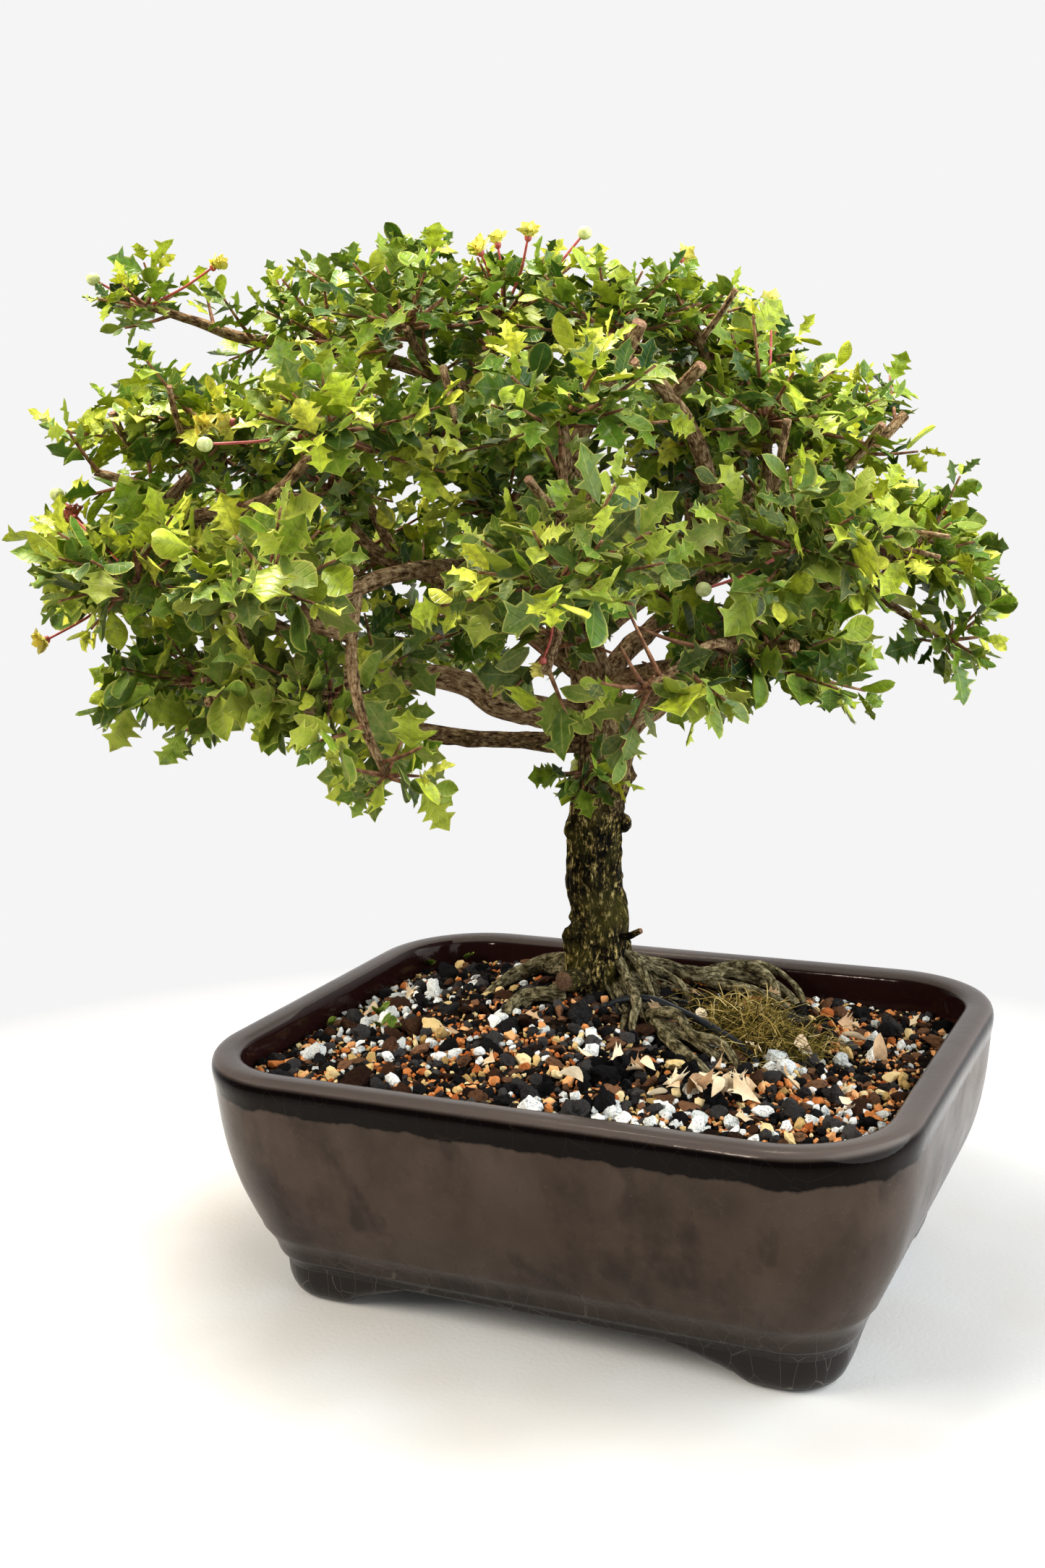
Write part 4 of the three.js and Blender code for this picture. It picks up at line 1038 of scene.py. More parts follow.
FEEDER_ROOTS = [
    [[9, -5, 82, 2.0], [12, -12, 76, 1.9], [13.5, -20, 73.2, 1.8], [15, -30, 71, 1.6], [13, -40, 68, 1.4],
     [14, -48, 62, 1.0]],
    [[12, -4, 82, 1.6], [17, -8, 78, 1.5], [19, -13, 74.5, 1.3], [20, -19, 72.5, 1.2], [21, -26, 66, 0.9]],
    [[12, 0, 79, 2.0], [19, -1, 75.5, 1.8], [25, -4, 73.5, 1.6], [30, -9, 71.5, 1.3], [33, -15, 65, 1.0]],
    [[-8, -13, 70, 2.4], [-13, -15, 71.2, 2.6], [-20, -14, 70.8, 2.3], [-25, -20, 69, 2.0],
     [-26, -27, 63, 1.4]],
    [[44, 4, 71.5, 1.8], [51, 4, 73.2, 1.6], [57, 0, 72.4, 1.5], [61, -8, 68.5, 1.3], [62, -14, 62, 1.0]],
    [[42, 5, 71, 1.6], [52, 8, 72, 1.5], [61, 4, 71.2, 1.3], [68, -4, 68, 1.1], [71, -10, 62, 0.9]],
    [[18, -35, 70, 1.7], [26, -42, 71.6, 1.6], [30, -54, 69.4, 1.5], [38, -62, 68.2, 1.4],
     [43, -70, 61, 1.1]],
    [[13, 6, 77, 2.2], [18, 16, 72.5, 1.8], [22, 27, 68, 1.5], [24, 34, 62, 1.1]],
    [[-2, 7, 77, 2.2], [-8, 18, 72.5, 1.8], [-10, 30, 67.5, 1.5], [-10, 36, 62, 1.1]],
]
THIN_ROOTS = 17
SAWN_STUBS = [
    [[-1, -6, 74, 3.1], [-5, -13, 74.8, 3.4], [-7.5, -17, 75.4, 3.3]],
    [[10, -4, 86, 1.6], [15, -8, 87.5, 1.2], [18, -10, 89.5, 1.1]],
]
ROOT_LIFT = 1.6
ROOT_SLIMMING = 0.76
LEAFY_LIMBS = [
    [[4, 0, 150, 3.6], [-16, 10, 149, 2.9], [-42, 15, 151, 2.7], [-75, 20, 159, 2.5], [-99, 20, 162, 2.2],
     [-125, 24, 169, 1.8], [-142, 25, 178, 1.5]],
    [[4, 0, 158, 5], [-25, -5, 164, 4.2], [-36, -8, 171, 3.8], [-61, -10, 176, 3.2], [-81, -12, 186, 2.6],
     [-110, -18, 200, 2], [-136, -24, 210, 1.6]],
    [[8, 0, 150, 4.8], [17, 4, 156, 4.6], [31, 8, 166, 4.3], [57, 15, 183, 3.4], [79, 20, 200, 2.6],
     [108, 24, 220, 1.7]],
    [[2, -2, 184, 4.8], [22, -14, 200, 4.6], [44, -25, 211, 3.6], [59, -30, 216, 2.7], [84, -35, 214, 2],
     [108, -38, 211, 1.5]],
    [[40, -24, 209, 3.2], [52, -18, 224, 2.8], [73, -10, 234, 2.2], [89, -5, 237, 2], [104, 0, 249, 1.7]],
    [[86, 21, 205, 2], [96, 2, 194, 1.5], [104, -9, 187, 1.2], [110, -12, 183, 1]],
    [[2, -4, 194, 3.2], [-4, -40, 196, 2.6], [-9, -78, 190, 2.1], [-11, -104, 186, 1.5]],
    [[7, -3, 168, 3.2], [22, -25, 175, 2.7], [38, -52, 182, 2.3], [56, -82, 188, 1.8]],
    [[-3, 0, 234, 3.2], [-23, 10, 256, 2.8], [-46, 18, 268, 2.5], [-82, 22, 277, 2.1], [-104, 22, 281, 1.8],
     [-128, 22, 290, 1.4]],
    [[-102, -16, 196, 2], [-107, -38, 220, 1.7], [-121, -45, 234, 1.5], [-136, -49, 240, 1.2]],
    [[-58, -10, 175, 2.8], [-75, -35, 177, 2.3], [-89, -55, 177, 2], [-104, -74, 177, 1.5]],
    [[-60, -93, 207, 2], [-61, -104, 190, 1.5], [-58, -108, 174, 1.3], [-55, -110, 166, 1.1]],
    [[44, -62, 184, 1.6], [32, -95, 190, 1.4], [18, -112, 184, 1.2]],
    [[5, 2, 165, 4], [20, 24, 178, 3.4], [38, 48, 190, 2.7], [62, 72, 202, 1.9]],
    [[2, 3, 172, 4], [-18, 26, 186, 3.4], [-42, 52, 199, 2.6], [-76, 74, 210, 1.8]],
    [[0, 3, 206, 3.4], [-4, 30, 226, 2.8], [-10, 62, 240, 2.2], [-14, 84, 246, 1.7]],
]
CUT_LIMBS = [
    [[2, -3, 184, 3.6], [-6, -15, 197, 3.1], [-24, -45, 207, 2.7], [-44, -75, 211, 2.4],
     [-62, -95, 207, 2.2], [-72, -106, 203, 2.1]],
    [[0, -4, 203, 3.6], [0, -35, 240, 2.9], [8, -50, 256, 2.5], [18, -66, 274, 2.2]],
    [[44, -25, 210, 3], [38, -48, 230, 2.5], [29, -66, 250, 2.2], [16, -75, 264, 2]],
    [[26, -69, 255, 1.9], [33, -76, 262, 1.8]],
    [[-1, -6, 214, 2.8], [-4, -40, 226, 2.4], [-4, -62, 236, 2.2], [-5, -75, 254, 2]],
]
SPURS = [
    [[75, -60, 234, 1.4], [79, -65, 240, 1.2], [82, -69, 245, 1.2]],
    [[53, -70, 226, 1.4], [54, -75, 238, 1.2], [55, -78, 247, 1.2]],
    [[1, -80, 218, 1.4], [2, -84, 226, 1.3], [3, -89, 234, 1.4]],
    [[75, -50, 217, 0.9], [90, -55, 216, 0.8], [103, -60, 214, 0.7]],
    [[75, -60, 214, 1.0], [87, -65, 212, 0.8], [98, -70, 209, 0.7]],
    [[52, -82, 201, 1.2], [60, -88, 203, 1.1], [67, -92, 204, 1.1]],
    [[-60, -84, 212, 1.4], [-69, -90, 211, 1.3], [-77, -95, 210, 1.3]],
    [[-86, -75, 186, 1.1], [-95, -80, 184, 1.0], [-103, -85, 184, 0.9]],
    [[-98, -85, 211, 1.2], [-93, -90, 202, 1.1], [-89, -93, 193, 1.0]],
    [[-127, -38, 246, 1.2], [-130, -42, 252, 1.2], [-131, -44, 256, 1.2]],
    [[-110, -53, 250, 0.9], [-111, -57, 257, 0.8], [-111, -60, 262, 0.8]],
    [[-63, -50, 242, 1.1], [-65, -56, 251, 0.9], [-66, -60, 258, 0.9]],
    [[36, -46, 270, 1.0], [41, -51, 277, 0.9], [45, -54, 283, 0.9]],
    [[-6, -93, 225, 1.3], [-11, -99, 230, 1.2], [-14, -104, 234, 1.3]],
    [[-36, -60, 265, 1.0], [-34, -66, 254, 0.9], [-32, -70, 243, 0.8]],
    [[-51, -18, 287, 1.5], [-54, -22, 293, 1.4], [-56, -25, 297, 1.3]],
]
KNOTS = [[-4.2, -2, 87, 2.8], [-3.4, -2, 83, 3.0], [-2.4, -3, 122, 2.7], [13.4, -3, 124, 2.9],
         [15.5, -1, 139, 2.8], [13, -4, 84, 2.6], [2, -7.2, 108, 2.8], [-2, -5, 90, 3.2],
         [9, -7, 131, 2.4], [7, -8, 96, 2.2]]

# The canopy's sprays: rings of (count, share of the reach, height, turn), and single ones with their radii
CANOPY = {"u": -23.0, "v": -4.0, "reach_u": 119.0, "reach_v": 104.0}
RINGS = [(1, 0.04, 283, 0), (5, 0.42, 273, 0.3), (9, 0.77, 247, 0.1), (11, 1, 209, 0.45), (5, 0.8, 176, 0.4)]
STANDING_OUT = [([-132, 22, 291], 7), ([-48, 20, 301], 4.5), ([115, -14, 180], 6), ([-53, -111, 161], 6.5),
                ([13, -115, 182], 6.5), ([1, -10, 142], 4.5)]

# Sprays of leaves inside the canopy that have no node of their own
FILLING = [([-42, -24, 243], 13), ([34, -36, 243], 12), ([-78, 30, 232], 13), ([40, 40, 232], 13),
           ([-20, -56, 226], 12), ([66, 4, 214], 12), ([46, -12, 266], 13), ([36, -24, 278], 9)]
# Places of bright young shoots, and gaps in the canopy with their radii, as seen from the front
BRIGHT_SHOOTS = [[-67, -25, 277], [-41, -70, 240], [-151, -40, 216], [21, -70, 204], [-150, -22, 252],
                 [-136, -60, 204], [-100, -60, 254], [-60, -20, 268], [-82, -30, 266], [-112, -66, 226],
                 [60, -50, 240], [4, -60, 270]]
OPEN_VIEWS = [([19, 0, 179], 12), ([46, 0, 196], 6), ([-35, 0, 156], 10)]
# Where the photograph was taken from, and the canopy's middle
EYE = np.array([-18.4, -545.0, 238.3])
CANOPY_HEART = np.array([CANOPY["u"], CANOPY["v"], 190.0])


def spray_sites():
    """The sprays' middles and the radii of their dense parts, drawn as the model's source draws them."""
    draw = seeded(29)

    def either_way():
        return draw() * 2 - 1
    sites = []
    for count, share, height, turn in RINGS:
        for k in range(count):
            angle = 2 * math.pi * (k + turn + either_way() * 0.12) / count
            out = share * (1 + either_way() * 0.04)
            u = CANOPY["u"] + out * CANOPY["reach_u"] * math.cos(angle)
            v = CANOPY["v"] + out * CANOPY["reach_v"] * math.sin(angle)
            z = height + either_way() * 5
            sites.append((np.array([u, v, z]), 16.5 + 3 * draw()))
    return sites + [(np.array(at, float), core) for at, core in STANDING_OUT]


def angle_between(a, b):
    """The angle from one direction to another."""
    return math.acos(np.clip(unit(a) @ unit(b), -1, 1))


def grow_into(sites):
    """Leads each leafy limb on into the spray nearest to its end, and gives the other sprays stems."""
    reached = set()
    limbs = []
    for points in LEAFY_LIMBS:
        end, before = np.array(points[-1][:3], float), np.array(points[-2][:3], float)
        runs = [(np.linalg.norm(at - end), n) for n, (at, _) in enumerate(sites)
                if n not in reached and angle_between(at - end, end - before) < SHARPEST_TURN]
        if runs and min(runs)[0] <= LONGEST_RUN:
            n = min(runs)[1]
            reached.add(n)
            points = points + [[*sites[n][0], STEM["tip"]]]
        limbs.append(points)
    springs = []
    for points in [TRUNK[8:], *limbs]:
        line = curve(np.asarray(points, float), 51)[:, :3]
        springs += [line[int(round(50 * (0.16 + 0.06 * s)))] for s in range(12)]
    springs = np.array(springs)
    stems = []
    halfway = (STEM["root"] + STEM["tip"]) / 2
    wanting = [at for n, (at, _) in enumerate(sites[:-1]) if n not in reached]
    for at in [*wanting, *[np.array(at, float) for at, _ in FILLING]]:
        cost = np.linalg.norm(springs - at, axis=1) + 0.9 * np.maximum(0, springs[:, 2] - at[2] + 4)
        start = springs[cost.argmin()]
        middle = start + (at - start) * 0.55
        middle[2] -= STEM_SAG * np.linalg.norm(at - start)
        stems.append([[*start, STEM["root"]], [*middle, halfway], [*at, STEM["tip"]]])
    return limbs, stems


def remeshed(points, faces, voxel):
    """One skin round overlapping closed shapes, from a voxel remesh."""
    obj = raw_object("raw", points * 0.01, faces)
    skin = obj.modifiers.new("skin", "REMESH")
    skin.mode = "VOXEL"
    skin.voxel_size = voxel * 0.01
    made = after_modifiers(obj)
    p = np.empty(len(made.vertices) * 3, np.float32)
    made.vertices.foreach_get("co", p)
    quads = np.array([tuple(f.vertices) for f in made.polygons if len(f.vertices) == 4], np.int32)
    bpy.data.objects.remove(obj, do_unlink=True)
    return p.reshape(-1, 3).astype(float) * 100, quads


def settle(points, quads, rounds):
    """Smooths a quad mesh by averaging over neighbours."""
    pairs = np.concatenate([quads[:, [k, (k + 1) % 4]] for k in range(4)])
    to, start = pairs.T
    degree = np.bincount(to, minlength=len(points))
    for _ in range(rounds):
        total = np.stack([np.bincount(to, points[start, k], len(points)) for k in range(3)], -1)
        points = points + 0.5 * (total / np.maximum(degree, 1)[:, None] - points)
    return points


def normals_of(points, quads):
    """The way out of a quad mesh at each of its points."""
    across = np.cross(points[quads[:, 2]] - points[quads[:, 0]], points[quads[:, 3]] - points[quads[:, 1]])
    total = np.zeros_like(points)
    for k in range(4):
        for axis in range(3):
            total[:, axis] += np.bincount(quads[:, k], across[:, axis], len(points))
    return unit(total)


def grain_of(points, lines):
    """Each point's place across and along its nearest limb, and that limb's radius and number."""
    rows = [(line[:, :3], *carried_frames(line[:, :3]), distances_along(line) + 100 * n, line[:, 3],
             np.full(len(line), n)) for n, line in enumerate(lines)]
    centre, along, side, other, run, radius, number = (np.concatenate(column) for column in zip(*rows))
    grain, near_radius, near_number = [], [], []
    for p in np.array_split(points, len(points) // 4000 + 1):
        away = np.linalg.norm(p[:, None] - centre[None], axis=2)
        near = (away / radius[None] ** 0.8).argmin(1)
        off = p - centre[near]
        x, y, z = ((off * way[near]).sum(1) for way in (side, other, along))
        grain.append(np.stack([x, y, run[near] + z], -1))
        near_radius.append(radius[near])
        near_number.append(number[near])
    return np.concatenate(grain), np.concatenate(near_radius), np.concatenate(near_number)


def thin_roots():
    """Thin roots from the trunk's foot to the right and the front, that run over the soil and into it."""
    random = np.random.default_rng(31)
    roots = []
    for _ in range(THIN_ROOTS):
        angle = random.uniform(-1.35, 0.9)
        reach = random.uniform(6, 22)
        points = []
        run = [(8, 5, 0.9), (12, 2.4, 0.7), (13 + reach * 0.5, 1.3, 0.5), (13 + reach, 0.6, 0.4),
               (16 + reach, -3, 0.3)]
        for out, lift, radius in run:
            angle += random.normal(0, 0.16)
            u, v = TRUNK[3][0] + out * math.cos(angle), out * math.sin(angle)
            points.append([u, v, float(soil_under(u, v)) + lift, radius])
        roots.append(points)
    return roots


def build_trunk(limbs):
    """Trunk, surface roots and the lowest limbs as one skin, with bark ridges along the grain."""
    raised = [[[u, v, z + ROOT_LIFT, r * ROOT_SLIMMING] for u, v, z, r in points] for points in ROOTS]
    stout = [TRUNK, *raised, *[points[:5] for points in limbs[:4]]]
    heap = Heap()
    lines = []
    for n, points in enumerate(stout):
        line = curve(points, max(6, int(length_of(points) / 2.5)))
        wander = np.stack([rough(line[:, :3] + 30 * k, 13, 50 + n, 2) for k in range(3)], -1)
        wobble = wander * np.minimum(1.1, 0.3 * line[:, 3:4])
        line[:, :3] += wobble if n else 0.35 * wobble
        lines.append(line)
        heap.add(*tube(line[:, :3], line[:, 3], 14))
    shape, triangles = ball(2)
    for u, v, z, radius in KNOTS:
        lump = shape * (1 + 0.2 * rough(shape * 3 + z, 1.5, 6, 2))[:, None] * np.array([1, 1, 1.2]) * radius
        heap.add(lump + np.array([u, v, z]), [triangles])
    points, faces, _ = heap.arrays()
    skin, quads = remeshed(points, faces, TRUNK_VOXEL)
    skin = settle(skin, quads, 3)
    normal = normals_of(skin, quads)
    grain, radius, nearest = grain_of(skin, lines)
    outside_trunk = np.hypot(skin[:, 0] - TRUNK[3][0], skin[:, 1]) > 12
    rooty = ((nearest > 0) & (nearest <= len(ROOTS)) & outside_trunk).astype(float)
    stretched = grain * np.array([1, 1, 0.2])
    low = 1 - smooth(skin[:, 2], 60, 170) * 0.35
    furrows = 1 - 2 * np.abs(noise(stretched, 1.7, 5))
    ridges = furrows * 0.42 + noise(stretched, 1.4, 6) * 0.4
    ridges = ridges + noise(grain, 5.5, 7) * 1.5 + noise(grain, 2.6, 9) * 0.7
    skin = skin + normal * (ridges * low * np.minimum(0.8, 0.09 * radius + 0.1))[:, None]
    piece("trunk_and_roots", tree_to_pot(skin), [quads], BARK,
          {"grain": grain, "sawn": np.zeros(len(skin)), "root": rooty}, replaces=["tree_wood"])


def build_wood(sites):
    """The tree's wood in two pieces; gives the limbs and stems on which leaves grow."""
    limbs, stems = grow_into(sites)
    build_trunk(limbs)
    heap = Heap("grain", "sawn", "root")
    for lines, root, step, sides, seed, knobs, cut in (
            ([*limbs, *stems], 0, 3.0, 9, 60, 0.1, False),
            ([*CUT_LIMBS, *SPURS, *SAWN_STUBS], 0, 2.5, 12, 160, 0.14, True),
            ([*FEEDER_ROOTS, *thin_roots()], 1, 1.8, 8, 260, 0.3, False)):
        for n, points in enumerate(lines):
            skin, faces, grain, sawn = limb_tube(points, step, sides, seed + n, knobs, cut)
            heap.add(skin, faces, grain=grain, sawn=sawn, root=root)
    tree_piece("limbs", heap, BARK, ["tree_wood"], 60)
    return limbs, stems


# Leaves

def margin(teeth, width, notch):
    """Places along a leaf's margin from stalk to tip: how far along, how wide, how far out of plane."""
    if not teeth:
        steps = (0.12, 0.28, 0.46, 0.64, 0.8, 0.93)
        return [(s, width * math.sin(math.pi * s ** 1.35) ** 0.75, 0.02) for s in steps]
    rows = []
    for k in range(teeth):
        tip = 0.2 + 0.62 * (k + 0.55) / teeth
        full = width * (0.62 + 0.38 * math.sin(math.pi * min(1, 0.1 + 0.85 * tip)))
        rows += [(tip - 0.08, full * (1 - notch) * 1.04, -0.01),
                 (tip + 0.02, full * 1.08, 0.08 if k % 2 else -0.05),
                 (tip + 0.075, full * (1 - notch), 0.01)]
    rows.append((0.5 * (rows[-1][0] + 1.0), rows[-1][1] * 0.52, 0.01))
    return rows


def leaf_shape(teeth, width, notch, columns):
    """A blade of unit length along x, with its stalk at the origin.

    teeth is how many spines a side has; with none the blade is spoon-shaped. Gives points, quads, triangles,
    and for each point its share of the way from rib to margin and from stalk to tip.
    """
    shares = (-1.0, -0.55, 0.0, 0.55, 1.0) if columns == 5 else (-1.0, 0.0, 1.0)
    thick = 0.012
    points, edge = [(0, 0, 0), (1, 0, 0.01)], [0.2, 1.0]
    rows = margin(teeth, width, notch)
    grid = {}
    for r, (x, y, z) in enumerate(rows):
        rib = 0.06 + 0.88 * (r + 0.5) / len(rows)
        for c, share in enumerate(shares):
            at = (rib + (x - rib) * abs(share), share * y, z * share ** 2 + 0.05 * share ** 2 - 0.02)
            for side in (0, 1):
                if abs(share) == 1 and side:
                    grid[1, r, c] = grid[0, r, c]
                    continue
                lift = 0 if abs(share) == 1 else thick * (1 - 2 * side)
                grid[side, r, c] = len(points)
                points.append((at[0], at[1], at[2] + lift))
                edge.append(abs(share))
    quads, triangles = [], []
    last = len(rows) - 1
    for side in (0, 1):
        for c in range(len(shares) - 1):
            for r in range(last):
                q = [grid[side, r, c], grid[side, r + 1, c], grid[side, r + 1, c + 1], grid[side, r, c + 1]]
                quads.append(q[::-1] if side else q)
            a = [0, grid[side, 0, c], grid[side, 0, c + 1]]
            b = [1, grid[side, last, c + 1], grid[side, last, c]]
            triangles += [a[::-1], b[::-1]] if side else [a, b]
    points = np.array(points, float)
    return points, np.array(quads), np.array(triangles), np.array(edge), points[:, 0]


def leaf_kinds(columns):
    """Six spiny blades and two whole ones, with that many columns of points across."""
    spiny = ((2, 0.41, 0.44), (3, 0.40, 0.42), (3, 0.38, 0.46),
             (2, 0.38, 0.48), (3, 0.42, 0.40), (2, 0.36, 0.40))
    whole = ((0, 0.33, 0), (0, 0.28, 0))
    return [[leaf_shape(*blade, columns) for blade in kinds] for kinds in (spiny, whole)]


FINE = leaf_kinds(5)
COARSE = leaf_kinds(3)


def in_open_view(at):
    """Whether a place would close one of the gaps through which daylight shows."""
    off = at - EYE
    for middle, radius in OPEN_VIEWS:
        way = unit(np.array(middle) - EYE)
        if np.linalg.norm(off - way * (off @ way)) < radius:
            return True
    return False


def put_leaf(heap, random, at, heading, face, length, tone=0.0, dust=0.0, fine=False, whole=0.2, curl=0.5):
    """Adds a blade, bent along its rib, folded about it and twisted, unless it leaves the model's box."""
    spiny_kinds, whole_kinds = FINE if fine else COARSE
    kinds = whole_kinds if random.random() < whole else spiny_kinds
    shape, quads, triangles, edge, run = kinds[random.integers(len(kinds))]
    x, y, z = shape.T
    y = y * random.uniform(0.85, 1.12)
    z = z * random.uniform(0.6, 1.7) + random.uniform(-0.15, 0.5) * np.abs(y) * curl
    bend = random.uniform(-0.85, 0.45) * curl
    z = z + bend * 0.5 * x * x + random.uniform(-0.6, 0.6) * curl * x * y
    x = x * (1 - 0.16 * bend * bend)
    forward = unit(heading)
    side = unit(np.cross(face, forward))
    up = np.cross(forward, side)
    points = at + length * ((x + LEAF_STALK)[:, None] * forward + y[:, None] * side + z[:, None] * up)
    world = tree_to_pot(points) + POT_MIDDLE
    if (world < LIMITS[0]).any() or (world > LIMITS[1]).any() or in_open_view(points.mean(0)):
        return
    heap.add(points, [quads, triangles], tone=tone, dust=dust, edge=edge, along=run)


def spread_directions(count, turn):
    """Directions spread over a ball, short of its underside."""
    i = np.arange(count)
    z = 0.95 - 1.5 * (i + 0.5) / count
    angle = golden(i) + turn
    flat = np.sqrt(1 - z * z)
    return np.stack([flat * np.cos(angle), flat * np.sin(angle), z], -1)


def leafy_twig(random, start, end, bow, size, high, look, leaves, twigs):
    """A twig with pairs of leaves, each pair turned from the last, and smaller new leaves at its tip.

    look holds the way out of the canopy, how much grey dust and painted sheen its leaves get and how likely
    a bright new shoot is.
    """
    outward, dust_and_sheen_mean, sunny = look
    line = curve(np.stack([start, (start + end) / 2 + bow * 0.3, end + bow]), 13)
    twigs.add(*tube(line[::2], np.linspace(TWIG_RADIUS, 0.35, 7), 5))
    pairs = max(3, int(length_of(line) / LEAF_PAIR_SPACING))
    way = unit(end - start)
    side = unit(np.cross(way, UP) + 0.001)
    turn = random.uniform(0, math.pi)
    new_shoot = random.random() < 0.12 + 0.26 * sunny
    for j in range(pairs):
        share = (j + 1) / pairs
        step = int(round((0.14 + 0.86 * share) * 12))
        at = line[step]
        direction = unit(line[min(12, step + 1)] - line[step - 1] + way * 0.1)
        last = j == pairs - 1
        for pair in (-1, 1):
            off = pair * unit(turned(turn + j * math.pi * 0.44, side, np.cross(direction, side)))
            splay = random.uniform(0.3, 0.8) if last else random.uniform(0.7, 1.5)
            drop = UP * random.uniform(-0.5, 0.15) * (1.3 - high)
            heading = unit(direction + off * splay + drop)
            face = UP * random.uniform(0.2, 1.0) * (0.55 + high) + outward * random.uniform(0.1, 0.9)
            face = unit(face + random.normal(0, 0.42, 3))
            if abs(face @ heading) > 0.9:
                face = unit(face + off)
            grown = size * (0.68 + 0.72 * random.random() ** 1.6) * (0.7 if last else 1)
            outer = smooth(math.hypot(at[0], 0.5 * at[1]), 35, 100)
            usual = 0.32 + 0.20 * share + 0.06 * sunny + 0.13 * outer + 0.02 * high
            tone = float(np.clip(random.normal(usual, 0.21), 0.02, 0.84))
            if new_shoot and j >= pairs - 2:
                tone, dust = random.uniform(0.8, 1.0), 0
            else:
                dust = float(np.clip(random.normal(dust_and_sheen_mean, 0.2), 0, 0.9))
            put_leaf(leaves, random, at, heading, face, grown, tone, dust, fine=share > 0.7 and grown > 12,
                     whole=0.34 - 0.22 * high)


def leaf_size(z):
    """Size of the leaves, smaller towards the crown, and how near the crown they are."""
    high = smooth(z, 185, 275)
    return LEAF_SIZE["low"] + (LEAF_SIZE["high"] - LEAF_SIZE["low"]) * high, high


def dust_and_sheen_share(at, high):
    """The low leaves at the front get the most grey, partly dust and partly painted sheen."""
    return 0.08 + 0.42 * smooth(-at[1], 10, 90) * (1 - high)


def grow_spray(n, site, core, leaves, twigs):
    """Twigs run out from the spray's middle in all directions but straight down."""
    random = np.random.default_rng(1000 + n)
    outward = unit(site - CANOPY_HEART)
    small = core < SMALL_SPRAY_CORE
    size, high = leaf_size(site[2])
    look = (outward, dust_and_sheen_share(site, high), random.random())
    for way in spread_directions(6 if small else TWIGS_IN_A_SPRAY, random.uniform(0, 6.3)):
        way = unit(way * np.array([1, 1, 0.8]) + outward * 0.32)
        reach = core * 1.3 + 4 if small else core * random.uniform(1.05, 1.9)
        start = site + way * core * 0.12
        end = site + way * reach * np.array([1, 1, 0.8])
        bow = UP * reach * random.uniform(-0.08, 0.16)
        leafy_twig(random, start, end, bow, size * (0.85 if small else 1), high, look, leaves, twigs)


def clothe_limbs(limbs, stems, twigs):
    """Side twigs with leaves along limbs, stems and the trunk's upper part, which close the canopy."""
    random = np.random.default_rng(404)
    leaves = leaf_heap()
    hosts = [(TRUNK[9:], 0.1, 34)]
    hosts += [(points, 0.38, 22) for points in limbs]
    hosts += [(points, 0.3, 20) for points in stems]
    for points, first, longest in hosts:
        count = int(length_of(points) * (1 - first) / SIDE_TWIG_SPACING)
        line = curve(points, 60)[:, :3]
        for k in range(count):
            step = min(57, int(59 * (first + (1 - first) * (k + random.random()) / count)))
            start = line[step]
            along = unit(line[step + 2] - start)
            if start[2] < LOWEST_SIDE_TWIG:
                continue
            side = unit(np.cross(along, UP) + 0.001)
            out = turned(golden(k), side, np.cross(along, side))
            outward = unit(start - CANOPY_HEART)
            way = unit(out + along * 0.4 + UP * 0.25 + outward * 0.25)
            end = start + way * random.uniform(0.6, 1.0) * longest
            size, high = leaf_size(end[2])
            look = (outward, dust_and_sheen_share(end, high), 0.2)
            leafy_twig(random, start, end, UP * random.uniform(-1, 3), size, high, look, leaves, twigs)
    tree_piece("limb_leaves", leaves, LEAF, sharp=LEAF_EDGE)


def build_sprays(sites, limbs, stems):
    """The canopy's leaves, a piece for each spray that has a node and two more, and one for the twigs."""
    twigs = Heap()
    clothe_limbs(limbs, stems, twigs)
    for n, (site, core) in enumerate(sites):
        leaves = leaf_heap()
        grow_spray(n, site, core, leaves, twigs)
        name = f"{n + 1:02d}"
        tree_piece(f"spray_leaves_{name}", leaves, LEAF, [f"spray_{name}"], LEAF_EDGE)
    leaves = leaf_heap()
    for n, (site, core) in enumerate(FILLING):
        grow_spray(100 + n, np.array(site, float), core, leaves, twigs)
    random = np.random.default_rng(606)
    middles = np.array([at for at, _ in sites])
    for head in np.array(BRIGHT_SHOOTS, float):
        nearest = middles[np.linalg.norm(middles - head, axis=1).argmin()]
        for _ in range(2):
            start = nearest + (head - nearest) * 0.3 + random.normal(0, 2, 3)
            end = head + random.normal(0, 4, 3)
            size, high = leaf_size(end[2])
            look = (unit(end - CANOPY_HEART), 0.0, ALWAYS_BRIGHT)
            leafy_twig(random, start, end, UP * 2, size, high, look, leaves, twigs)
    tree_piece("filling_leaves", leaves, LEAF, sharp=LEAF_EDGE)
    tree_piece("twigs", twigs, TWIG)


# Buds and flowers: round buds, open flowers with frayed yellow petals, and two dried ones

BUD_HEADS = [[6, -10, 305], [60, -20, 282], [-148, 20, 300], [-11, -80, 260], [-152, -30, 234],
             [31, -90, 204], [-98, -86, 246], [101, -22, 228]]
FLOWER_HEADS = [[-11, -20, 303], [-25, -22, 299], [-20, -5, 303], [-94, -62, 252], [-102, -64, 251],
                [-12, -102, 188], [-160, -25, 191], [-108, 8, 301], [58, -32, 280], [34, -16, 296]]
DRIED_HEADS = [[-147, -32, 227], [113, -17, 217]]
PETALS = 13


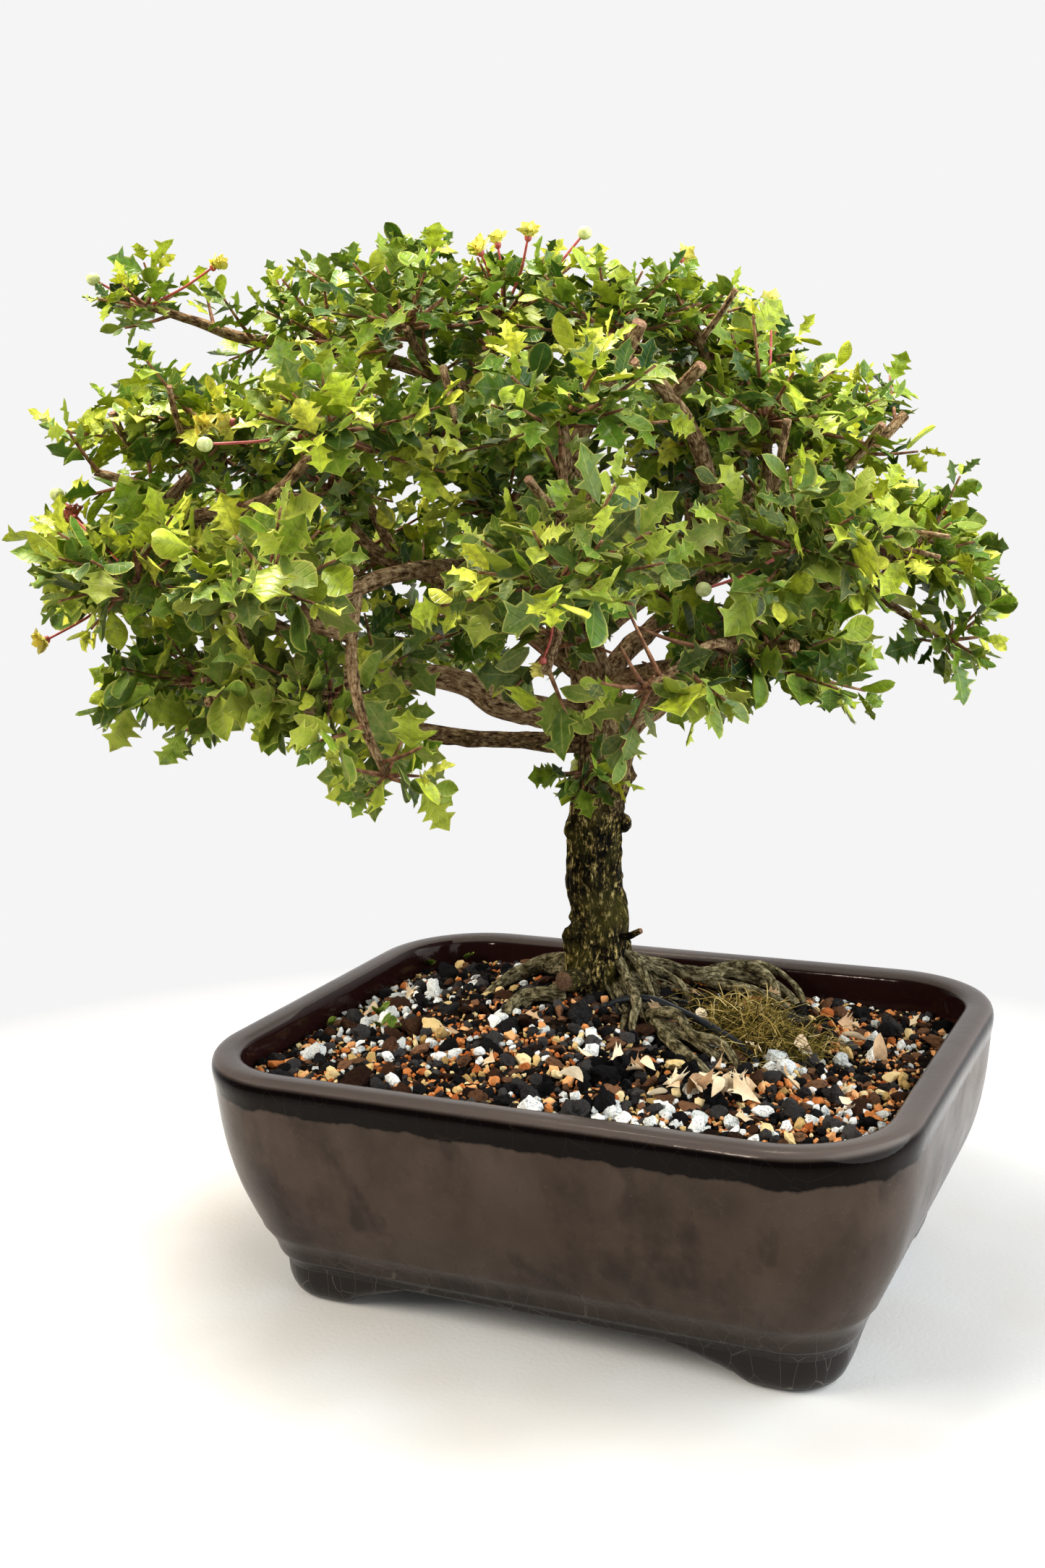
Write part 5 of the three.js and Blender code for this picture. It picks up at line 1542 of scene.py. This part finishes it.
def stalk_line(sites, head):
    """A stalk's run from the nearest spray to a flower's head."""
    middles = np.array([at for at, _ in sites])
    nearest = np.linalg.norm(middles - head, axis=1).argmin()
    root = middles[nearest] + unit(head - middles[nearest]) * 0.4 * sites[nearest][1]
    sag = np.array([0.6, -0.4, -0.5])
    return curve(np.stack([root, root + (head - root) * 0.5 + sag, head]), 9)


def build_buds(sites):
    """A piece for each bud, its head lobed, on a red stalk."""
    shape, triangles = ball(2)
    lobes = 1 + 0.07 * np.cos(5 * np.arctan2(shape[:, 1], shape[:, 0])) * (1 - shape[:, 2] ** 2)
    stalk_sides = 7
    for n, head in enumerate(np.array(BUD_HEADS, float)):
        heap = Heap()
        heap.add(*tube(stalk_line(sites, head), np.linspace(0.5, 0.38, 9), stalk_sides))
        heap.add(shape * lobes[:, None] * 2.1 * np.array([1, 1, 0.95]) + head, [triangles])
        points, faces, _ = heap.arrays()
        # the triangles come first, the stalk's two fans and then the head, and after them the stalk's quads
        kinds = [0] * (2 * stalk_sides) + [1] * len(triangles) + [0] * len(faces[1])
        piece(f"flower_bud_{n + 1}", tree_to_pot(points), faces, [STALK_RED, BUD],
              replaces=[f"bud_{n + 1}"], choice=kinds)


def build_flowers(sites):
    """Open and dried flowers: a red stalk with a small knob, and petals round it."""
    random = np.random.default_rng(5)
    stalks, petals, dried = Heap(), Heap(), Heap()
    shape, triangles = ball(1)
    for n, head in enumerate(np.array([*FLOWER_HEADS, *DRIED_HEADS], float)):
        line = stalk_line(sites, head)
        stalks.add(*tube(line, np.linspace(0.45, 0.35, 9), 6))
        stalks.add(shape * np.array([1.1, 1.1, 1.3]) + head, [triangles])
        faded = n >= len(FLOWER_HEADS)
        axis = unit(line[-1] - line[-3] + UP * 0.6)
        side = unit(np.cross(axis, [0.3, 1, 0.2]))
        for k in range(PETALS):
            out = turned(golden(k), side, np.cross(axis, side))
            spread = 0.25 + 0.55 * (k / (PETALS - 1)) + (0.5 if faded else 0)
            heading = unit(axis + out * spread + random.normal(0, 0.12, 3))
            put_leaf(dried if faded else petals, random, head - axis * 0.4, heading, unit(axis * 0.5 - out),
                     random.uniform(3.6, 5.6), whole=0.35, curl=1.6)
    tree_piece("flower_stalks", stalks, STALK_RED)
    tree_piece("flower_petals", petals, PETAL, sharp=LEAF_EDGE)
    tree_piece("dried_flowers", dried, DRIED_FLOWER, sharp=LEAF_EDGE)


# What lies on the soil

MOSS_MAT = {"u": 55.0, "v": -42.0, "along": 23.0, "across": 11.0, "height": 4.2, "turn": -1.15}
MOSS_RINGS = ((0.95, -2.5), (1.0, 0.2), (0.93, 1.6), (0.8, 2.7), (0.62, 3.4), (0.42, 3.9), (0.2, 4.1))
FIBRES = 760
FIBRE_DRIFT = 5.0
TIE_WIRE = [[5, -21, 60], [7, -22, 69], [18, -27, 72.4], [28, -37, 71], [37, -48, 68.8], [45, -60, 65.5],
            [51, -69, 58]]
WIRE_RADIUS = 1.15
FALLEN_HEART = (31.0, -86.0)
FALLEN_SPREAD = (15, 10)
FALLEN_COUNT = 15
LITTER_TRIES = 75
WEEDS = [[-62, -28], [-67, -10], [-41, 51], [-83, -20], [-53, 46], [-66, -25]]


def soil_under(u, v):
    """Height of the soil at a place, both in the tree's frame."""
    x, y, _ = np.moveaxis(tree_to_pot(np.stack([u, v, np.zeros_like(u)], -1)), -1, 0)
    return soil_height(x, y) - TREE_RISE


def on_moss(x, y):
    """A place on the moss mat in the tree's frame, from its distances along and across, in half sizes."""
    x, y = x * MOSS_MAT["along"], y * MOSS_MAT["across"]
    c, s = math.cos(MOSS_MAT["turn"]), math.sin(MOSS_MAT["turn"])
    return MOSS_MAT["u"] + c * x - s * y, MOSS_MAT["v"] + s * x + c * y


def build_moss():
    """A low mound of moss, and root fibres that lie over it."""
    random = np.random.default_rng(17)
    rings = []
    angle = circle(48)
    for share, lift in MOSS_RINGS:
        u, v = on_moss(share * np.cos(angle), share * np.sin(angle))
        ring = np.stack([u, v, soil_under(u, v) + lift], -1)
        uneven = np.stack([rough(ring + 9 * k, 4, 40 + k, 3) for k in range(3)], -1)
        ring += uneven * np.array([1.2, 1.2, 1.0])
        rings.append(ring)
    points, faces = rings_skin(np.stack(rings))
    piece("moss_mound", tree_to_pot(points), faces, MOSS, replaces=["moss_mat"])
    heap = Heap("tone")
    for _ in range(FIBRES):
        a, d = random.uniform(0, 2 * math.pi), random.random() ** 0.6
        u, v = on_moss(d * 1.1 * math.cos(a), d * 1.35 * math.sin(a))
        u -= FIBRE_DRIFT
        at = np.array([u, v, 0])
        at[2] = float(soil_under(u, v)) + 4.4 * max(0, 1 - d * d) - 0.3
        way = unit(np.append(random.normal(0, 1, 2), random.uniform(-0.25, 0.45)))
        reach = random.uniform(5, 17)
        bow = random.normal(0, 0.3, 3) * reach * 0.5
        end = at + way * reach
        end[2] = max(end[2], float(soil_under(end[0], end[1])) + 0.4)
        line = curve(np.stack([at, (at + end) / 2 + bow + UP * random.uniform(0.5, 2.5), end]), 7)
        skin, faces = tube(line, np.linspace(random.uniform(0.13, 0.24), 0.08, 7), 3)
        heap.add(skin, faces, tone=random.random())
    tree_piece("root_fibres", heap, FIBRE)


def build_wire():
    """The black wire over the roots, its ends in the soil."""
    points, faces = tube(curve(TIE_WIRE, 60), np.full(60, WIRE_RADIUS), 14)
    piece("tie_wire_coated", tree_to_pot(points), faces, BLACK_PLASTIC,
          replaces=["tie_wire"], sharp=50)


def soil_to_tree(x, y):
    """The tree's coordinates of a place on the soil."""
    away = np.array([x, y]) - TRUNK_FOOT
    c, s = math.cos(TREE_TURN), math.sin(TREE_TURN)
    u, v = c * away[0] + s * away[1], c * away[1] - s * away[0]
    return np.array([u, v, float(soil_height(x, y)) - TREE_RISE])


def build_dry_leaves():
    """Dry leaves, a loose heap of them at the front and single ones over the soil, more at the right."""
    random = np.random.default_rng(77)
    heap = leaf_heap()

    def drop(at, length):
        angle = random.uniform(0, 2 * math.pi)
        heading = np.array([math.cos(angle), math.sin(angle), random.uniform(-0.3, 0.9)])
        face = unit(UP * 0.6 + random.normal(0, 0.7, 3))
        at = at + UP * random.uniform(1.8, 4.0)
        tone = random.random() ** 0.6
        put_leaf(heap, random, at, heading, face, length, tone, fine=True, whole=0.4, curl=2.1)
    for k in range(FALLEN_COUNT):
        angle = golden(k)
        out = (k / FALLEN_COUNT) ** 0.5
        u = FALLEN_HEART[0] + FALLEN_SPREAD[0] * out * math.cos(angle)
        v = FALLEN_HEART[1] + FALLEN_SPREAD[1] * out * math.sin(angle)
        drop(np.array([u, v, float(soil_under(u, v))]), random.uniform(5.8, 9.0))
    for _ in range(LITTER_TRIES):
        x, y = random.uniform(-88, 88), random.uniform(-64, 64)
        room = inside(x, y, wall_inset(SOIL_EDGE)) > 8
        if room and from_trunk(x, y) > 20 and random.random() < 0.55 + 0.004 * x:
            drop(soil_to_tree(x, y), random.uniform(4.5, 8.5))
    tree_piece("dry_leaves", heap, DRY_LEAF, ["fallen_leaves"], LEAF_EDGE)


def build_weeds():
    """A few small green seedlings among the grains."""
    random = np.random.default_rng(12)
    heap = leaf_heap()
    for u, v in WEEDS:
        at = np.array([u, v, float(soil_under(u, v)) + 1.0])
        for _ in range(3):
            angle = random.uniform(0, 2 * math.pi)
            heading = np.array([math.cos(angle), math.sin(angle), 0.9])
            face = UP - 0.6 * heading
            put_leaf(heap, random, at, heading, face, random.uniform(3.5, 6), 0.45, 0.2, whole=0.8)
    tree_piece("seedlings", heap, LEAF, sharp=LEAF_EDGE)


# The scene round the plant

CAMERA = {
    "at": (192.7415, -461.6459, 241.8163),
    "right": (0.90564288, 0.42259095, -0.03504079),
    "up": (-0.04610113, 0.18026893, 0.98253641),
    "ahead": (-0.42152776, 0.88821169, -0.18274119),
    "focal_px": 2386.197,
    "image": (1445, 2168),
}
FLOOR_REACH = 0.9
FLOOR_HEIGHT = -0.0002


def set_axes(obj, columns, at):
    """Gives an object its three axes and its place, in metres."""
    matrix = np.eye(4)
    matrix[:3, :3] = np.array(columns).T
    matrix[:3, 3] = at
    obj.matrix_world = Matrix(matrix.tolist())


def build_camera():
    """The camera from which the photograph was taken, fitted to the pot's rim, base and height."""
    data = bpy.data.cameras.new("camera")
    data.sensor_fit = "AUTO"
    data.sensor_width = 36.0
    data.lens = CAMERA["focal_px"] / max(CAMERA["image"]) * data.sensor_width
    data.clip_start = 0.01
    data.dof.use_dof = False
    obj = linked("camera", data)
    set_axes(obj, [CAMERA["right"], CAMERA["up"], [-x for x in CAMERA["ahead"]]],
             (np.array(CAMERA["at"]) + POT_MIDDLE) * 0.001)
    bpy.context.scene.camera = obj


def build_floor():
    """A pale floor that fades into the background away from the pot's front."""
    material, tree, shader = new_material("floor_pale", Roughness=0.9, Specular_IOR_Level=0.1)
    where = position(tree)
    weave = noise_node(tree, where, 1.4, 2)
    tint = noise_node(tree, where, 70, 2)
    colour = ramp(tree, tint, (0.35, (0.55, 0.515, 0.475)), (0.65, (0.585, 0.575, 0.555)))
    feed(tree, shader, Base_Color=colour, Normal=bump(tree, weave, 0.25, 0.0004))
    shift = vector_maths(tree, "ADD", where, (-20, 90, 0)).outputs[0]
    away = vector_maths(tree, "LENGTH", shift).outputs["Value"]
    feed(tree, shader, Alpha=ramp(tree, maths(tree, "DIVIDE", away, 1000), (0.10, 1.0), (0.38, 0.0)))
    angle = circle(96)
    height = np.full(96, FLOOR_HEIGHT)
    disc = np.stack([FLOOR_REACH * np.cos(angle), FLOOR_REACH * np.sin(angle), height], -1)
    floor = raw_object("floor", disc, [[range(96)]])
    floor.data.materials.append(material)


def area_light(name, at, target, size, power, colour):
    """A round light of that size, in metres, and power, in watts, that faces its target."""
    data = bpy.data.lights.new(name, "AREA")
    data.shape = "DISK"
    data.size = size
    data.energy = power
    data.color = colour
    obj = linked(name, data)
    direction = unit(np.subtract(target, at))
    side = unit(np.cross(direction, UP))
    set_axes(obj, [side, np.cross(side, direction), -direction], at)
    return obj


def build_light():
    """Soft studio light from above and behind, dim in front so that the glaze stays dark, on a backdrop."""
    world = bpy.data.worlds.new("studio")
    world.use_nodes = True
    tree = world.node_tree
    around = tree.nodes["Background"]
    facing = node(tree, "ShaderNodeTexCoord").outputs["Generated"]
    way = feed(tree, node(tree, "ShaderNodeSeparateXYZ"), i0=facing)
    behind = plus(tree, times(tree, way.outputs["Y"], 0.5), 0.5)
    feed(tree, around, Color=ramp(tree, behind, (0.35, (0.12, 0.12, 0.12)), (0.75, (0.95, 0.95, 0.96))))
    backdrop = feed(tree, node(tree, "ShaderNodeBackground"), Color=(0.913, 0.913, 0.913, 1))
    seen = node(tree, "ShaderNodeLightPath").outputs["Is Camera Ray"]
    mixed = node(tree, "ShaderNodeMixShader")
    feed(tree, mixed, i0=seen, i1=around.outputs[0], i2=backdrop.outputs[0])
    feed(tree, tree.nodes["World Output"], Surface=mixed.outputs[0])
    bpy.context.scene.world = world
    bpy.context.scene.view_settings.view_transform = "Standard"
    area_light("top", (-0.25, 0.12, 1.2), (0, 0, 0.15), 0.5, 35, (1.0, 0.97, 0.90))
    front = area_light("front", (-1.05, -0.85, 0.8), (0, 0, 0.15), 0.9, 34, (1.0, 0.96, 0.88))
    front.visible_glossy = False
    area_light("right", (1.1, -0.05, 0.5), (0.05, 0, 0.1), 1.8, 45, (0.88, 0.95, 1.0))
    lamp = area_light("lamp", (-0.13, -0.95, 0.52), (0, 0, 0.07), 0.06, 4, (1.0, 0.95, 0.90))
    lamp.visible_diffuse = False
    lamp.visible_transmission = False


def dress_screens():
    """The two screens over the drain holes stay as packed and get their material."""
    for name in ("drain_screen_left", "drain_screen_right"):
        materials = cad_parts[name].data.materials
        materials.clear()
        materials.append(BLACK_PLASTIC)


def main():
    sites = spray_sites()
    build_pot()
    soil_bed()
    scatter_grains()
    limbs, stems = build_wood(sites)
    build_sprays(sites, limbs, stems)
    build_buds(sites)
    build_flowers(sites)
    build_moss()
    build_wire()
    build_dry_leaves()
    build_weeds()
    dress_screens()
    build_floor()
    build_light()
    build_camera()


main()
